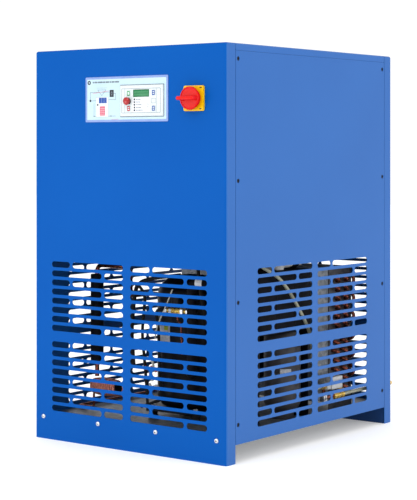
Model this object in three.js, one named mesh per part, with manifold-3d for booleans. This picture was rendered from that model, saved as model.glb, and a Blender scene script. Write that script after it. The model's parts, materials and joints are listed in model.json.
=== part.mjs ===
// Refrigerated air dryer: a floor-standing louvred cabinet with its refrigeration set inside.
// Millimetres. X is the width, Y runs from the front (-) to the rear (+), Z is up.
// The origin is on the floor, under the middle of the cabinet.
import * as THREE from "three";
import { mergeVertices } from "three/addons/utils/BufferGeometryUtils.js";
import Module from "manifold-3d";

const wasm = await Module();
wasm.setup();

// Cabinet
const WIDTH = 650;
const DEPTH = 790;
const HEIGHT = 1050;
const SHEET = 2;
const GAP = 0.3;
const SEAM = 0.5;
const RETURN = 37;
const BEND = 6;
const PROTRUSION = 45;
const LIFT_GAP = 47;
const COVER_FLANGE = 18.5;
const HALF_W = WIDTH / 2;
const FRONT = -DEPTH / 2;
const REAR = DEPTH / 2;
const SIDE_HALF = REAR - RETURN - SEAM;

// Ventilation slots: four blocks of eight staggered rows on each face
const SLOT_ROWS = 8;
const SLOT_PITCH = 24.5;
const SLOT_HEIGHT = 16;
const SLOT_WEB = 8.5;
const SLOT_SHORT = 65.5;
const BLOCK_TOPS = [473.8, 258.2];
const BLOCK_WIDTH = 252;
const BLOCK_INNER = 12;

// Chassis
const BEAM_TOP = 57.7;
const BEAM_DEPTH = 31;
const PAN_TOP = 60;
const POST_LEG_X = 41;
const POST_LEG_Y = 56;
const SCREW_X = [-294, -98, 98, 294];
const SCREW_Z = 60;

// Control area on the front
const FASCIA = { x0: -141, x1: 140, z0: 855.5, z1: 974, thickness: 1 };
const BEZEL = { x0: -18.5, x1: 125.8, z0: 869.5, z1: 950, proud: 4 };
const CONTROLLER_DEPTH = 40;
const DISPLAY = { x0: 25.8, x1: 79.8, z0: 919.2, z1: 938.6 };
const KEY_WIDTH = 12.3;
const KEY_HEIGHT = 12.9;
const KEYS = {
  start_key: { x: 10.9, z: 929.1, finish: "green" },
  stop_key: { x: 11.5, z: 889.6, finish: "red" },
  up_key: { x: 94.8, z: 929.5, finish: "blueKey" },
  down_key: { x: 94.8, z: 889.2, finish: "blueKey" },
};
const STOP_BUTTON = { x: 9.8, z: 909, radius: 10.2, stem: 5, stand: 5.5, head: 7.5 };
const SWITCH = { x: 225, z: 912.3, plate: 64, plateDepth: 6, disc: 29.5, grip: 9.5, shaft: 6 };

// Refrigeration set
const COMPRESSOR = { x: 29, y: -160, radius: 92, z0: 90.3, z1: 446, foot: 102, mount: 72 };
const FAN = { x: 35, z: 285, radius: 150, hub: 36, blades: 5, pitch: 24, y: 112 };
const CONDENSER = { x0: -200, x1: 270, y0: 150, y1: 262, z0: 92, z1: 455, plenum: 60 };
const EXCHANGER = { x0: 125, x1: 285, y0: -205, y1: 45, z0: 302, z1: 462 };
const SEPARATOR = { x: 235, y: -24, radius: 50 };
const PORT = { inletX: 250, outletX: 160, z: 620, radius: 24, bore: 19, boreDepth: 80, header: 489 };
const DRAIN = { x: 305, z: 108, valveY: 142, stemY: 155, lineZ: 140, coilY0: 96, coilY1: 150, coilZ1: 162 };
const COIL = { x: -200, y: -245, z: 130, half: 48, inner: 15, outer: 26 };
const RISER = { x: -234, top: 464, sleeve: 18, sleeveZ0: 200, sleeveZ1: 438 };
const BYPASS = { x0: 50, x1: 130, y: -295, z: 361, radius: 11 };
const DRIER = { x: -285, y: 150, radius: 14, z0: 120, z1: 240 };
const CABLE_ENTRY = { x: -250, z: 930 };

const FINISHES = {
  frontBlue: [0x1b70d4, 0.42, 0.1],
  sideBlue: [0x3f7ac2, 0.45, 0.1],
  galvanised: [0xa9adb0, 0.45, 0.8],
  zincScrew: [0xc9ccd0, 0.35, 0.8],
  label: [0xdfe6ff, 0.5, 0],
  whitePlastic: [0xe9ebef, 0.5, 0],
  display: [0x9fbf3a, 0.2, 0],
  green: [0x2f9a4a, 0.4, 0],
  red: [0xc8202c, 0.35, 0],
  blueKey: [0x2c62b8, 0.4, 0],
  yellow: [0xf2c21b, 0.4, 0],
  greyPlastic: [0x6d7278, 0.55, 0],
  blackPaint: [0x15171a, 0.4, 0.2],
  rubber: [0x1a1a1b, 0.8, 0],
  foam: [0x1d1e20, 0.9, 0],
  fins: [0x9ea4a8, 0.5, 0.8],
  darkGrey: [0x3c4045, 0.6, 0.2],
  airPipe: [0xc4c6c8, 0.4, 0.6],
  copper: [0xb8683c, 0.3, 1],
  brass: [0xc9a24a, 0.3, 1],
  hose: [0xd9cf9a, 0.5, 0],
};

const dryer = new THREE.Group();

// ---- Solids ---------------------------------------------------------------------------------

function signedVolume(position, index) {
  const [a, b, c] = [new THREE.Vector3(), new THREE.Vector3(), new THREE.Vector3()];
  let volume = 0;
  for (let i = 0; i < index.length; i += 3) {
    a.fromBufferAttribute(position, index[i]);
    b.fromBufferAttribute(position, index[i + 1]);
    c.fromBufferAttribute(position, index[i + 2]);
    volume += a.dot(b.cross(c));
  }
  return volume;
}

// A closed geometry as a solid, with its poles' empty triangles dropped and its faces outward.
function solid(geometry) {
  const bare = geometry.clone();
  for (const name of Object.keys(bare.attributes)) {
    if (name !== "position") bare.deleteAttribute(name);
  }
  const merged = mergeVertices(bare, 1e-3);
  const source = Array.from(merged.index.array);
  const index = [];
  for (let i = 0; i < source.length; i += 3) {
    const [a, b, c] = source.slice(i, i + 3);
    if (a !== b && b !== c && c !== a) index.push(a, b, c);
  }
  if (signedVolume(merged.attributes.position, index) < 0) index.reverse();
  return new wasm.Manifold(new wasm.Mesh({
    numProp: 3,
    vertProperties: new Float32Array(merged.attributes.position.array),
    triVerts: new Uint32Array(index),
  }));
}

function join(first, ...others) {
  return others.reduce((sum, other) => sum.add(other), first);
}

function cut(first, ...others) {
  return others.reduce((rest, other) => rest.subtract(other), first);
}

function add(name, body, finish) {
  const mesh = body.getMesh();
  const geometry = new THREE.BufferGeometry();
  geometry.setAttribute("position", new THREE.BufferAttribute(mesh.vertProperties, 3));
  geometry.setIndex(new THREE.BufferAttribute(mesh.triVerts, 1));
  geometry.computeVertexNormals();
  const [color, roughness, metalness] = FINISHES[finish];
  const node = new THREE.Mesh(geometry, new THREE.MeshStandardMaterial({ color, roughness, metalness }));
  node.name = name;
  dryer.add(node);
}

function box(x0, x1, y0, y1, z0, z1) {
  const geometry = new THREE.BoxGeometry(x1 - x0, y1 - y0, z1 - z0);
  geometry.translate((x0 + x1) / 2, (y0 + y1) / 2, (z0 + z1) / 2);
  return solid(geometry);
}

// A turned piece: the profile is a list of [radius, height] and the axis is X, Y or Z.
function turned(profile, segments, axis, x, y, z) {
  const points = profile.map(([radius, height]) => new THREE.Vector2(radius, height));
  const geometry = new THREE.LatheGeometry(points, segments);
  if (axis === "X") geometry.rotateZ(-Math.PI / 2);
  if (axis === "Z") geometry.rotateX(Math.PI / 2);
  geometry.translate(x, y, z);
  return solid(geometry);
}

// A plain round bar between two heights along its axis.
function bar(radius, from, to, segments, axis, x, y, z) {
  return turned([[0, from], [radius, from], [radius, to], [0, to]], segments, axis, x, y, z);
}

// An outline in X and Y, raised from z0 to z1.
function raised(outline, z0, z1, curveSegments = 1) {
  const geometry = new THREE.ExtrudeGeometry(outline, {
    depth: z1 - z0, bevelEnabled: false, curveSegments,
  });
  geometry.translate(0, 0, z0);
  return solid(geometry);
}

// An outline given as [y, z] points, drawn out along X.
function alongX(points, x0, x1) {
  const outline = new THREE.Shape(points.map(([y, z]) => new THREE.Vector2(y, z)));
  const geometry = new THREE.ExtrudeGeometry(outline, { depth: x1 - x0, bevelEnabled: false });
  geometry.applyMatrix4(new THREE.Matrix4().makeBasis(
    new THREE.Vector3(0, 1, 0), new THREE.Vector3(0, 0, 1), new THREE.Vector3(1, 0, 0)));
  geometry.translate(x0, 0, 0);
  return solid(geometry);
}

// A round pipe along corner points, each corner rounded off with the bend radius.
function pipe(corners, radius, bend, sides, steps) {
  const points = corners.map(([x, y, z]) => new THREE.Vector3(x, y, z));
  const route = [points[0]];
  for (let i = 1; i < points.length - 1; i += 1) {
    const corner = points[i];
    const before = points[i - 1].clone().sub(corner).setLength(bend).add(corner);
    const after = points[i + 1].clone().sub(corner).setLength(bend).add(corner);
    const middle = before.clone().add(after).multiplyScalar(0.25).addScaledVector(corner, 0.5);
    route.push(before, middle, after);
  }
  route.push(points[points.length - 1]);
  const section = new THREE.Shape();
  for (let i = 0; i < sides; i += 1) {
    const angle = (i / sides) * Math.PI * 2;
    const move = i === 0 ? "moveTo" : "lineTo";
    section[move](radius * Math.cos(angle), radius * Math.sin(angle));
  }
  return solid(new THREE.ExtrudeGeometry(section, {
    steps, extrudePath: new THREE.CatmullRomCurve3(route, false, "centripetal"),
  }));
}

// ---- Cabinet --------------------------------------------------------------------------------

// Plan of a front or rear panel: a wide channel whose two corners are bends.
function channelPlan(halfWidth, face, back, bend) {
  const plan = new THREE.Shape();
  plan.moveTo(-halfWidth, back);
  plan.lineTo(-halfWidth, face + bend);
  plan.absarc(-halfWidth + bend, face + bend, bend, Math.PI, Math.PI * 1.5, false);
  plan.absarc(halfWidth - bend, face + bend, bend, Math.PI * 1.5, Math.PI * 2, false);
  plan.lineTo(halfWidth, back);
  return plan;
}

// A bent panel that stands on the floor, with side returns and a top return.
function endPanel() {
  const outer = raised(channelPlan(HALF_W, FRONT, FRONT + RETURN, BEND), 0, HEIGHT);
  const inner = channelPlan(HALF_W - SHEET, FRONT + SHEET, FRONT + RETURN + 1, BEND - SHEET);
  return cut(outer, raised(inner, -1, HEIGHT - SHEET));
}

// One slot: a flat bar with faceted round ends, as wide as the sheet and more.
function slot(u0, u1, z) {
  const r = SLOT_HEIGHT / 2;
  const outline = new THREE.Shape();
  outline.moveTo(u0 + r, -r);
  outline.lineTo(u1 - r, -r);
  outline.lineTo(u1, 0);
  outline.lineTo(u1 - r, r);
  outline.lineTo(u0 + r, r);
  outline.lineTo(u0, 0);
  const geometry = new THREE.ExtrudeGeometry(outline, { depth: SHEET * 4, bevelEnabled: false });
  geometry.translate(0, 0, -SHEET * 2);
  geometry.rotateX(Math.PI / 2);
  geometry.translate(0, 0, z);
  return geometry;
}

// All slots of one face. The face is turned about Z and stands at the given distance from the middle.
function slots(angle, distance) {
  const cutters = [];
  for (const top of BLOCK_TOPS) {
    for (const left of [-BLOCK_INNER - BLOCK_WIDTH, BLOCK_INNER]) {
      for (let row = 0; row < SLOT_ROWS; row += 1) {
        const right = left + BLOCK_WIDTH;
        const webStart = row % 2 === 0 ? left + SLOT_SHORT : right - SLOT_SHORT - SLOT_WEB;
        for (const [u0, u1] of [[left, webStart], [webStart + SLOT_WEB, right]]) {
          const geometry = slot(u0, u1, top - row * SLOT_PITCH);
          geometry.translate(0, -distance + SHEET / 2, 0);
          geometry.rotateZ(angle);
          cutters.push(solid(geometry));
        }
      }
    }
  }
  return cutters;
}

function frontPanel() {
  const holes = SCREW_X.map((x) => bar(3, FRONT - 1, FRONT + 4, 8, "Y", x, 0, SCREW_Z));
  const window = box(BEZEL.x0 + 3.5, BEZEL.x1 - 3.5, FRONT - 1, FRONT + 4, BEZEL.z0 + 3.5, BEZEL.z1 - 3.5);
  const shaftHole = bar(10, FRONT - 1, FRONT + 4, 12, "Y", SWITCH.x, 0, SWITCH.z);
  add("front_panel", cut(endPanel(), ...slots(0, REAR), ...holes, window, shaftHole), "frontBlue");
}

function rearPanel() {
  const turnedPanel = endPanel().rotate([0, 0, 180]);
  const hole = (radius, x, z) => bar(radius, REAR - 4, REAR + 1, 12, "Y", x, 0, z);
  const ports = [PORT.inletX, PORT.outletX].map((x) => hole(PORT.radius + 3, x, PORT.z));
  const services = [hole(8, DRAIN.x, DRAIN.z), hole(8.5, CABLE_ENTRY.x, CABLE_ENTRY.z)];
  add("rear_panel", cut(turnedPanel, ...slots(Math.PI, REAR), ...ports, ...services), "sideBlue");
}

function sidePanels() {
  const plate = (x0) => box(x0, x0 + SHEET, -SIDE_HALF, SIDE_HALF, LIFT_GAP, HEIGHT - COVER_FLANGE - SEAM);
  add("right_side_panel", cut(plate(HALF_W - SHEET), ...slots(Math.PI / 2, HALF_W)), "sideBlue");
  add("left_side_panel", cut(plate(-HALF_W), ...slots(-Math.PI / 2, HALF_W)), "sideBlue");
}

function topCover() {
  const base = HEIGHT - COVER_FLANGE;
  const outer = box(-HALF_W, HALF_W, -SIDE_HALF, SIDE_HALF, base, HEIGHT);
  const inner = box(-HALF_W + SHEET, HALF_W - SHEET, -SIDE_HALF + SHEET, SIDE_HALF - SHEET, base - 1, HEIGHT - SHEET);
  add("top_cover", cut(outer, inner), "sideBlue");
}

// ---- Chassis --------------------------------------------------------------------------------

function chassis() {
  const panHalfX = HALF_W - 5;
  const panHalfY = REAR - 6;
  const flangeHalfY = REAR - 54;
  const plate = box(-panHalfX, panHalfX, -panHalfY, panHalfY, PAN_TOP - SHEET, PAN_TOP);
  const flanges = [-panHalfX, panHalfX - SHEET].map((x) =>
    box(x, x + SHEET, -flangeHalfY, flangeHalfY, LIFT_GAP, PAN_TOP - 1));
  add("base_pan", join(plate, ...flanges), "galvanised");

  const wall = 3;
  const open = FRONT + 5;
  const web = open + BEAM_DEPTH;
  const channel = [[open, 0], [web, 0], [web, BEAM_TOP], [open, BEAM_TOP], [open, BEAM_TOP - wall],
    [web - wall, BEAM_TOP - wall], [web - wall, wall], [open, wall]];
  const beam = alongX(channel, -panHalfX, panHalfX);
  add("front_base_beam", beam, "sideBlue");
  add("rear_base_beam", beam.rotate([0, 0, 180]), "sideBlue");

  const drainHole = bar(9, 0, REAR, 12, "Y", DRAIN.x, 0, DRAIN.z);
  const outX = HALF_W - SHEET - SEAM;
  const outY = REAR - SHEET - SEAM;
  const ease = 4;
  for (const [sideName, sx] of [["left", -1], ["right", 1]]) {
    for (const [endName, sy] of [["front", -1], ["rear", 1]]) {
      const plan = [[outX - POST_LEG_X, outY], [outX - ease, outY], [outX, outY - ease],
        [outX, outY - POST_LEG_Y], [outX - SHEET, outY - POST_LEG_Y], [outX - SHEET, outY - SHEET - 1],
        [outX - SHEET - 1, outY - SHEET], [outX - POST_LEG_X, outY - SHEET]];
      const outline = new THREE.Shape(plan.map(([x, y]) => new THREE.Vector2(x * sx, y * sy)));
      const post = raised(outline, LIFT_GAP + SHEET, HEIGHT - COVER_FLANGE - SEAM);
      add(`${endName}_${sideName}_post`, cut(post, drainHole), "sideBlue");
    }
  }

  const head = [[0, SHEET], [2.4, SHEET], [2.4, -GAP], [6, -GAP], [5.2, -2.4], [3, -3.4], [0, -3.6]];
  SCREW_X.forEach((x, i) => {
    add(`front_screw_${i + 1}`, turned(head, 12, "Y", x, FRONT, SCREW_Z), "zincScrew");
  });
}

// ---- Controls -------------------------------------------------------------------------------

function controls() {
  const face = FRONT - GAP;
  const bezelFace = face - BEZEL.proud + 0.3;
  const fascia = box(FASCIA.x0, FASCIA.x1, face - FASCIA.thickness, face, FASCIA.z0, FASCIA.z1);
  const opening = box(BEZEL.x0 - SEAM, BEZEL.x1 + SEAM, face - 2, face + 1, BEZEL.z0 - SEAM, BEZEL.z1 + SEAM);
  add("control_fascia", cut(fascia, opening), "label");

  const recess = (x0, x1, z0, z1, depth) => box(x0, x1, bezelFace - 1, bezelFace + depth, z0, z1);
  const pockets = [
    recess(DISPLAY.x0, DISPLAY.x1, DISPLAY.z0, DISPLAY.z1, 2.5),
    bar(STOP_BUTTON.stem + 0.6, bezelFace - 1, bezelFace + 19, 12, "Y", STOP_BUTTON.x, 0, STOP_BUTTON.z),
  ];
  const halfW = KEY_WIDTH / 2;
  const halfH = KEY_HEIGHT / 2;
  for (const [name, key] of Object.entries(KEYS)) {
    pockets.push(recess(key.x - halfW - GAP, key.x + halfW + GAP, key.z - halfH - GAP, key.z + halfH + GAP, 4));
    add(name, box(key.x - halfW, key.x + halfW, bezelFace - 0.9, bezelFace + 2.6,
      key.z - halfH, key.z + halfH), key.finish);
  }
  const rim = box(BEZEL.x0, BEZEL.x1, bezelFace, face, BEZEL.z0, BEZEL.z1);
  const body = box(BEZEL.x0 + 4, BEZEL.x1 - 4, face - 1, FRONT + CONTROLLER_DEPTH, BEZEL.z0 + 4, BEZEL.z1 - 4);
  add("controller_housing", cut(join(rim, body), ...pockets), "whitePlastic");
  add("display_window", box(DISPLAY.x0 + GAP, DISPLAY.x1 - GAP, bezelFace + 0.5, bezelFace + 2.2,
    DISPLAY.z0 + GAP, DISPLAY.z1 - GAP), "display");

  const { x, z, radius, stem, stand, head } = STOP_BUTTON;
  const under = bezelFace - stand;
  const mushroom = [[0, bezelFace + 13], [stem, bezelFace + 13], [stem, under], [radius, under],
    [radius, under - head * 0.5], [radius * 0.8, under - head * 0.85], [0, under - head]];
  add("stop_button", turned(mushroom, 16, "Y", x, 0, z), "red");
}

function mainSwitch() {
  const { x, z, plate, plateDepth, disc, grip, shaft } = SWITCH;
  const half = plate / 2;
  const back = FRONT - GAP;
  const front = back - plateDepth;
  const base = box(x - half, x + half, front, back, z - half, z + half);
  add("main_switch_plate", cut(base, bar(9, front - 1, back + 1, 16, "Y", x, 0, z)), "yellow");

  const discBack = front - SEAM;
  const discFront = FRONT - 25;
  const knob = turned([[0, FRONT + 35], [shaft, FRONT + 35], [shaft, discBack], [disc, discBack],
    [disc, discFront + 3], [disc - 3, discFront], [0, discFront]], 24, "Y", x, 0, z);
  const bridge = box(x - disc + 1, x + disc - 1, FRONT - PROTRUSION, discFront + 1, z - grip / 2, z + grip / 2);
  const lockHole = bar(3, -8, 8, 8, "Z", x - disc * 0.45, FRONT - PROTRUSION + 9, z);
  add("main_switch_handle", cut(join(knob, bridge), lockHole), "red");

  const body = box(x - 23, x + 23, FRONT + 2.5, FRONT + 50, z - 24, z + 24);
  add("main_switch_body", cut(body, bar(shaft + 1, FRONT + 1, FRONT + 38, 12, "Y", x, 0, z)), "greyPlastic");
}

function electrics() {
  const half = HALF_W - 5;
  const face = FRONT + 95;
  const tray = box(-half, half, face - 38, face + SHEET, 560, 1000);
  const inside = box(-half + SHEET, half - SHEET, face - 39, face, 559, 1001);
  add("electrical_tray", cut(tray, inside), "galvanised");
  add("contactor", box(20, 65, face - 80, face - GAP, 700, 785), "greyPlastic");
  const gland = [[5, -15], [8, -15], [8, GAP], [12, GAP], [12, 7], [9, 16], [5, 16], [5, -15]];
  add("cable_gland", turned(gland, 12, "Y", CABLE_ENTRY.x, REAR, CABLE_ENTRY.z), "rubber");
}

// ---- Refrigeration set ----------------------------------------------------------------------

function compressor() {
  const { x, y, radius, z0, z1, foot, mount } = COMPRESSOR;
  const shell = [[0, z0], [radius * 0.7, z0], [radius * 0.93, z0 + 14], [radius, z0 + 36], [radius, z1 - 52],
    [radius * 0.94, z1 - 30], [radius * 0.74, z1 - 11], [radius * 0.4, z1 - 2], [0, z1]];
  add("compressor_shell", turned(shell, 24, "Z", x, y, 0), "blackPaint");
  const chamfer = 40;
  const corners = [];
  for (const [sx, sy] of [[1, 1], [-1, 1], [-1, -1], [1, -1]]) {
    const near = new THREE.Vector2(x + sx * foot, y + sy * (foot - chamfer));
    const far = new THREE.Vector2(x + sx * (foot - chamfer), y + sy * foot);
    corners.push(...(sx * sy > 0 ? [near, far] : [far, near]));
  }
  add("compressor_base", raised(new THREE.Shape(corners), z0 - 6, z0 - GAP), "blackPaint");
  let count = 0;
  for (const dx of [-1, 1]) {
    for (const dy of [-1, 1]) {
      count += 1;
      const grommet = bar(14, PAN_TOP + GAP, z0 - 6 - GAP, 10, "Z", x + dx * mount, y + dy * mount, 0);
      add(`compressor_grommet_${count}`, grommet, "rubber");
    }
  }
  add("compressor_terminal_cover", box(x + radius + GAP, x + radius + 25, y - 30, y + 30, 240, 300), "blackPaint");
}

function condenser() {
  const { x0, x1, y0, y1, z0, z1, plenum } = CONDENSER;
  add("condenser_core", box(x0, x1, y0, y1, z0, z1), "fins");
  const sheet = (x) => box(x, x + SHEET, y0 - 2, y1 + 2, PAN_TOP + GAP, z1 + 2);
  add("condenser_left_sheet", sheet(x0 - GAP - SHEET), "galvanised");
  add("condenser_right_sheet", sheet(x1 + GAP), "galvanised");

  const shroudFront = y0 - 2 - plenum;
  const outer = box(x0, x1, shroudFront, y0 - 2 - GAP, z0, z1);
  const inner = box(x0 + SHEET, x1 - SHEET, shroudFront + SHEET, y0, z0 + SHEET, z1 - SHEET);
  const throat = bar(FAN.radius + 10, shroudFront - 1, shroudFront + 3, 32, "Y", FAN.x, 0, FAN.z);
  add("fan_shroud", cut(outer, inner, throat), "galvanised");

  const strapBack = shroudFront - GAP;
  const strap = box(FAN.x - 20, FAN.x + 20, strapBack - 3, strapBack, z0, z1);
  const strapHole = bar(9, strapBack - 4, strapBack + 1, 12, "Y", FAN.x, 0, FAN.z);
  add("fan_motor_bracket", cut(strap, strapHole), "galvanised");
  const motorBack = strapBack - 3 - GAP;
  const motor = bar(42, motorBack - 60, motorBack, 16, "Y", FAN.x, 0, FAN.z);
  add("fan_motor", cut(motor, bar(6, motorBack - 22, motorBack + 1, 10, "Y", FAN.x, 0, FAN.z)), "blackPaint");

  const hub = turned([[0, motorBack - 18], [5, motorBack - 18], [5, FAN.y - 12], [FAN.hub, FAN.y - 12],
    [FAN.hub, FAN.y + 10], [FAN.hub - 6, FAN.y + 14], [0, FAN.y + 14]], 15, "Y", FAN.x, 0, FAN.z);
  const blades = [];
  for (let i = 0; i < FAN.blades; i += 1) {
    const blade = new THREE.BoxGeometry(FAN.radius - FAN.hub + 4, 3, 66);
    blade.rotateX(THREE.MathUtils.degToRad(FAN.pitch));
    blade.translate((FAN.radius + FAN.hub - 4) / 2, 0, 0);
    blade.rotateY((i / FAN.blades) * Math.PI * 2);
    blade.translate(FAN.x, FAN.y, FAN.z);
    blades.push(solid(blade));
  }
  add("fan_rotor", join(hub, ...blades), "blackPaint");
}

function airSide() {
  const { x0, x1, y0, y1, z0, z1 } = EXCHANGER;
  add("heat_exchanger", box(x0, x1, y0, y1, z0, z1), "foam");
  const { x, y, radius } = SEPARATOR;
  const low = PAN_TOP + GAP;
  const standTop = z0 - GAP;
  const wall = 3;
  add("moisture_separator", turned([[0, low], [radius * 0.6, low], [radius * 0.6, low + 24],
    [radius - 8, low + 28], [radius, low + 42], [radius, standTop - 16], [radius - 8, standTop - wall - 1],
    [0, standTop - wall - 1]], 20, "Z", x, y, 0), "darkGrey");
  const fore = y0 + 10;
  const aft = y1 - 10;
  const table = [[fore, low], [fore + wall, low], [fore + wall, standTop - wall], [aft - wall, standTop - wall],
    [aft - wall, low], [aft, low], [aft, standTop], [fore, standTop]];
  add("exchanger_stand", alongX(table, x0 + 65, x1 - 5), "blackPaint");

  const end = REAR + PROTRUSION;
  const bore = (px) => bar(PORT.bore, end - PORT.boreDepth, end + 1, 12, "Y", px, 0, PORT.z);
  const { inletX, outletX, header } = PORT;
  const inlet = pipe([[inletX, -100, header], [inletX, 50, header], [inletX, 50, PORT.z],
    [inletX, end, PORT.z]], PORT.radius, 45, 12, 16);
  const inletFoot = bar(18, z1 + GAP, header, 12, "Z", inletX, -70, 0);
  add("air_inlet_pipe", cut(join(inlet, inletFoot), bore(inletX)), "airPipe");
  const outlet = pipe([[outletX, y, z1 + GAP], [outletX, y, PORT.z], [outletX, end, PORT.z]],
    PORT.radius, 60, 12, 10);
  add("air_outlet_pipe", cut(outlet, bore(outletX)), "airPipe");
}

function drainLine() {
  const { x, z, valveY, stemY, lineZ, coilY0, coilY1, coilZ1 } = DRAIN;
  const halfLength = 25;
  const coil = box(x - 12, x + 12, coilY0, coilY1, lineZ - 12, coilZ1);
  const plug = box(x - 9, x + 9, coilY0 - 18, coilY0 + 1, lineZ - 10, lineZ + 10);
  const tail = coilY0 - 38;
  add("drain_solenoid", join(coil, plug, bar(6, tail, coilY0, 10, "Y", x, 0, lineZ)), "greyPlastic");
  const stem = bar(5, z, z + 12, 10, "Z", x, stemY, 0);
  const body = bar(10, valveY - halfLength, valveY + halfLength, 12, "Y", x, 0, z);
  add("drain_valve", join(body, stem), "brass");
  add("drain_valve_handle", box(x - 12, x + 12, stemY - 4, stemY + 4, z + 12 + GAP, z + 19), "yellow");
  add("drain_hose", bar(5, valveY + halfLength + GAP, REAR - 15 - GAP, 10, "Y", x, 0, z), "hose");
  const fitting = [[3, -15], [7.5, -15], [7.5, GAP], [12, GAP], [12, 10], [7, 12], [7, 30], [3, 30], [3, -15]];
  add("drain_outlet", turned(fitting, 12, "Y", x, REAR, z), "brass");
  const start = EXCHANGER.y0 - 2;
  const route = [[250, start, 440], [256, -240, 446], [286, -262, 486], [303, -242, 494], [303, -206, 478],
    [303, -136, 446], [303, -69, 387], [303, 5, 294], [303, 20, 215], [304, 28, 160],
    [x, tail - 18, lineZ], [x, tail - 1, lineZ]];
  add("condensate_hose", pipe(route, 4.6, 6, 8, 30), "hose");
}

function refrigerantLines() {
  const { z0, z1, radius } = DRIER;
  add("filter_drier", turned([[0, z0], [6, z0], [radius, z0 + 14], [radius, z1 - 14], [6, z1], [0, z1]],
    16, "Z", DRIER.x, DRIER.y, 0), "copper");
  const { half, inner, outer } = COIL;
  add("capillary_coil", turned([[inner, -half], [outer, -half], [outer, half], [inner, half], [inner, -half]],
    16, "X", COIL.x, COIL.y, COIL.z), "copper");
  const valve = bar(BYPASS.radius, BYPASS.x0, BYPASS.x1, 12, "X", 0, BYPASS.y, BYPASS.z);
  const valveX = (BYPASS.x0 + BYPASS.x1) / 2;
  const actuator = box(valveX - 13, valveX + 13, BYPASS.y - 14, BYPASS.y + 14, BYPASS.z, BYPASS.z + 43);
  add("hot_gas_valve", join(valve, actuator), "brass");

  const left = COMPRESSOR.x - COMPRESSOR.radius - GAP * 2;
  const outletZ = COMPRESSOR.z1 - 61;
  const legX = -115;
  const riser = pipe([[left, COMPRESSOR.y, outletZ], [legX, COMPRESSOR.y, outletZ], [legX, COIL.y, outletZ],
    [legX, COIL.y, RISER.top], [RISER.x, COIL.y, RISER.top], [RISER.x, COIL.y, COIL.z + outer + 1]],
  6, 20, 8, 28);
  const sleeve = bar(RISER.sleeve, RISER.sleeveZ0, RISER.sleeveZ1, 14, "Z", RISER.x, COIL.y, 0);
  add("discharge_pipe", join(riser, sleeve), "copper");

  const suction = new THREE.Vector2(150, -310);
  const middle = new THREE.Vector2(COMPRESSOR.x, COMPRESSOR.y);
  const inletEnd = suction.clone().sub(middle).setLength(COMPRESSOR.radius + GAP * 2).add(middle);
  add("suction_pipe", pipe([[205, EXCHANGER.y0 - GAP, 440], [205, suction.y, 440],
    [suction.x, suction.y, 440], [suction.x, suction.y, 200], [inletEnd.x, inletEnd.y, 200]],
  14, 24, 8, 22), "foam");
}

frontPanel();
rearPanel();
sidePanels();
topCover();
chassis();
controls();
mainSwitch();
electrics();
compressor();
condenser();
airSide();
drainLine();
refrigerantLines();

export default dryer;
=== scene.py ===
"""Refrigerated air dryer: the fine surfaces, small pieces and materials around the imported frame."""

import json
from math import cos, pi, radians, sin, sqrt

import bmesh
import bpy
from mathutils import Matrix, Vector


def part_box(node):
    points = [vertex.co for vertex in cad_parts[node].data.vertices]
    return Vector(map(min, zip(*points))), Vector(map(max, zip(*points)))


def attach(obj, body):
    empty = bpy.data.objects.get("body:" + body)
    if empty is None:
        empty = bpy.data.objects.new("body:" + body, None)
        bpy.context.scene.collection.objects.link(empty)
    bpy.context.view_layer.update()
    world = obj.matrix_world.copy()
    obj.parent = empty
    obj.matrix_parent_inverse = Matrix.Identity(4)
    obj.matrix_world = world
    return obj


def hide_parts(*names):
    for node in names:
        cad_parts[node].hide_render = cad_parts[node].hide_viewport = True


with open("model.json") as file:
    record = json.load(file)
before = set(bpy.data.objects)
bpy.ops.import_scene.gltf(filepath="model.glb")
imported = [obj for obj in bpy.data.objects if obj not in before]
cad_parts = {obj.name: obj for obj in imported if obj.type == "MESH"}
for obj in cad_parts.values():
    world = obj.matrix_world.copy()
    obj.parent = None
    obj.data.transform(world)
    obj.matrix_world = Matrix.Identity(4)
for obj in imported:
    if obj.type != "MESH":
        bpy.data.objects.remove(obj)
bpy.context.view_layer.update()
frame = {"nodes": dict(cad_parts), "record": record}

MM = 0.001
LOW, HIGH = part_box("front_panel")
HALF_W = HIGH[0]
FACE = -LOW[1]
HEIGHT = HIGH[2]
SIDE_LOW, SIDE_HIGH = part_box("right_side_panel")
SHEET = 2 * MM
BEND = 6 * MM
BEND_STEPS = 8
RETURN = 37 * MM

# The slots of a face: four blocks of eight rows, each row split by one web
SLOT_ROWS = 8
SLOT_PITCH = 24.5 * MM
SLOT_RADIUS = 8 * MM
SLOT_WEB = 8.5 * MM
SLOT_SHORT = 65.5 * MM
BLOCK_TOPS = (473.8 * MM, 258.2 * MM)
BLOCK_WIDTH = 252 * MM
BLOCK_INNER = 12 * MM

# The black screws that hold each side panel, in u and v of the side
SIDE_SCREW_U = (-346 * MM, 346 * MM)
SIDE_SCREW_V = (96 * MM, 401 * MM, 705.5 * MM, 1011 * MM)
SCREW_SEAT = 5.6 * MM

# The refrigeration set
PIPE_RADIUS = 24 * MM
HEADER_Z = 489
FIN_PITCH = 3.2 * MM
FIN_HALF = 0.12 * MM
TUBE_ROWS = 13
TUBE_STEP = 25.4 * MM
TUBE_TOP = 26 * MM
FAN_BLADES = 5
COIL_TURNS = 12
STEPS_PER_TURN = 24


# ---- Meshes -----------------------------------------------------------------------------------

def mm(*values):
    """A vector from millimetres."""
    return Vector(values) * MM


def in_mm(pairs):
    """Pairs of millimetres turned into metres: radius and height, or u and v."""
    return [(first * MM, second * MM) for first, second in pairs]


def span(node):
    """The x0, x1, z0 and z1 of a CAD node in millimetres, which are u and v on the front."""
    low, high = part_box(node)
    return low[0] / MM, high[0] / MM, low[2] / MM, high[2] / MM


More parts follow.
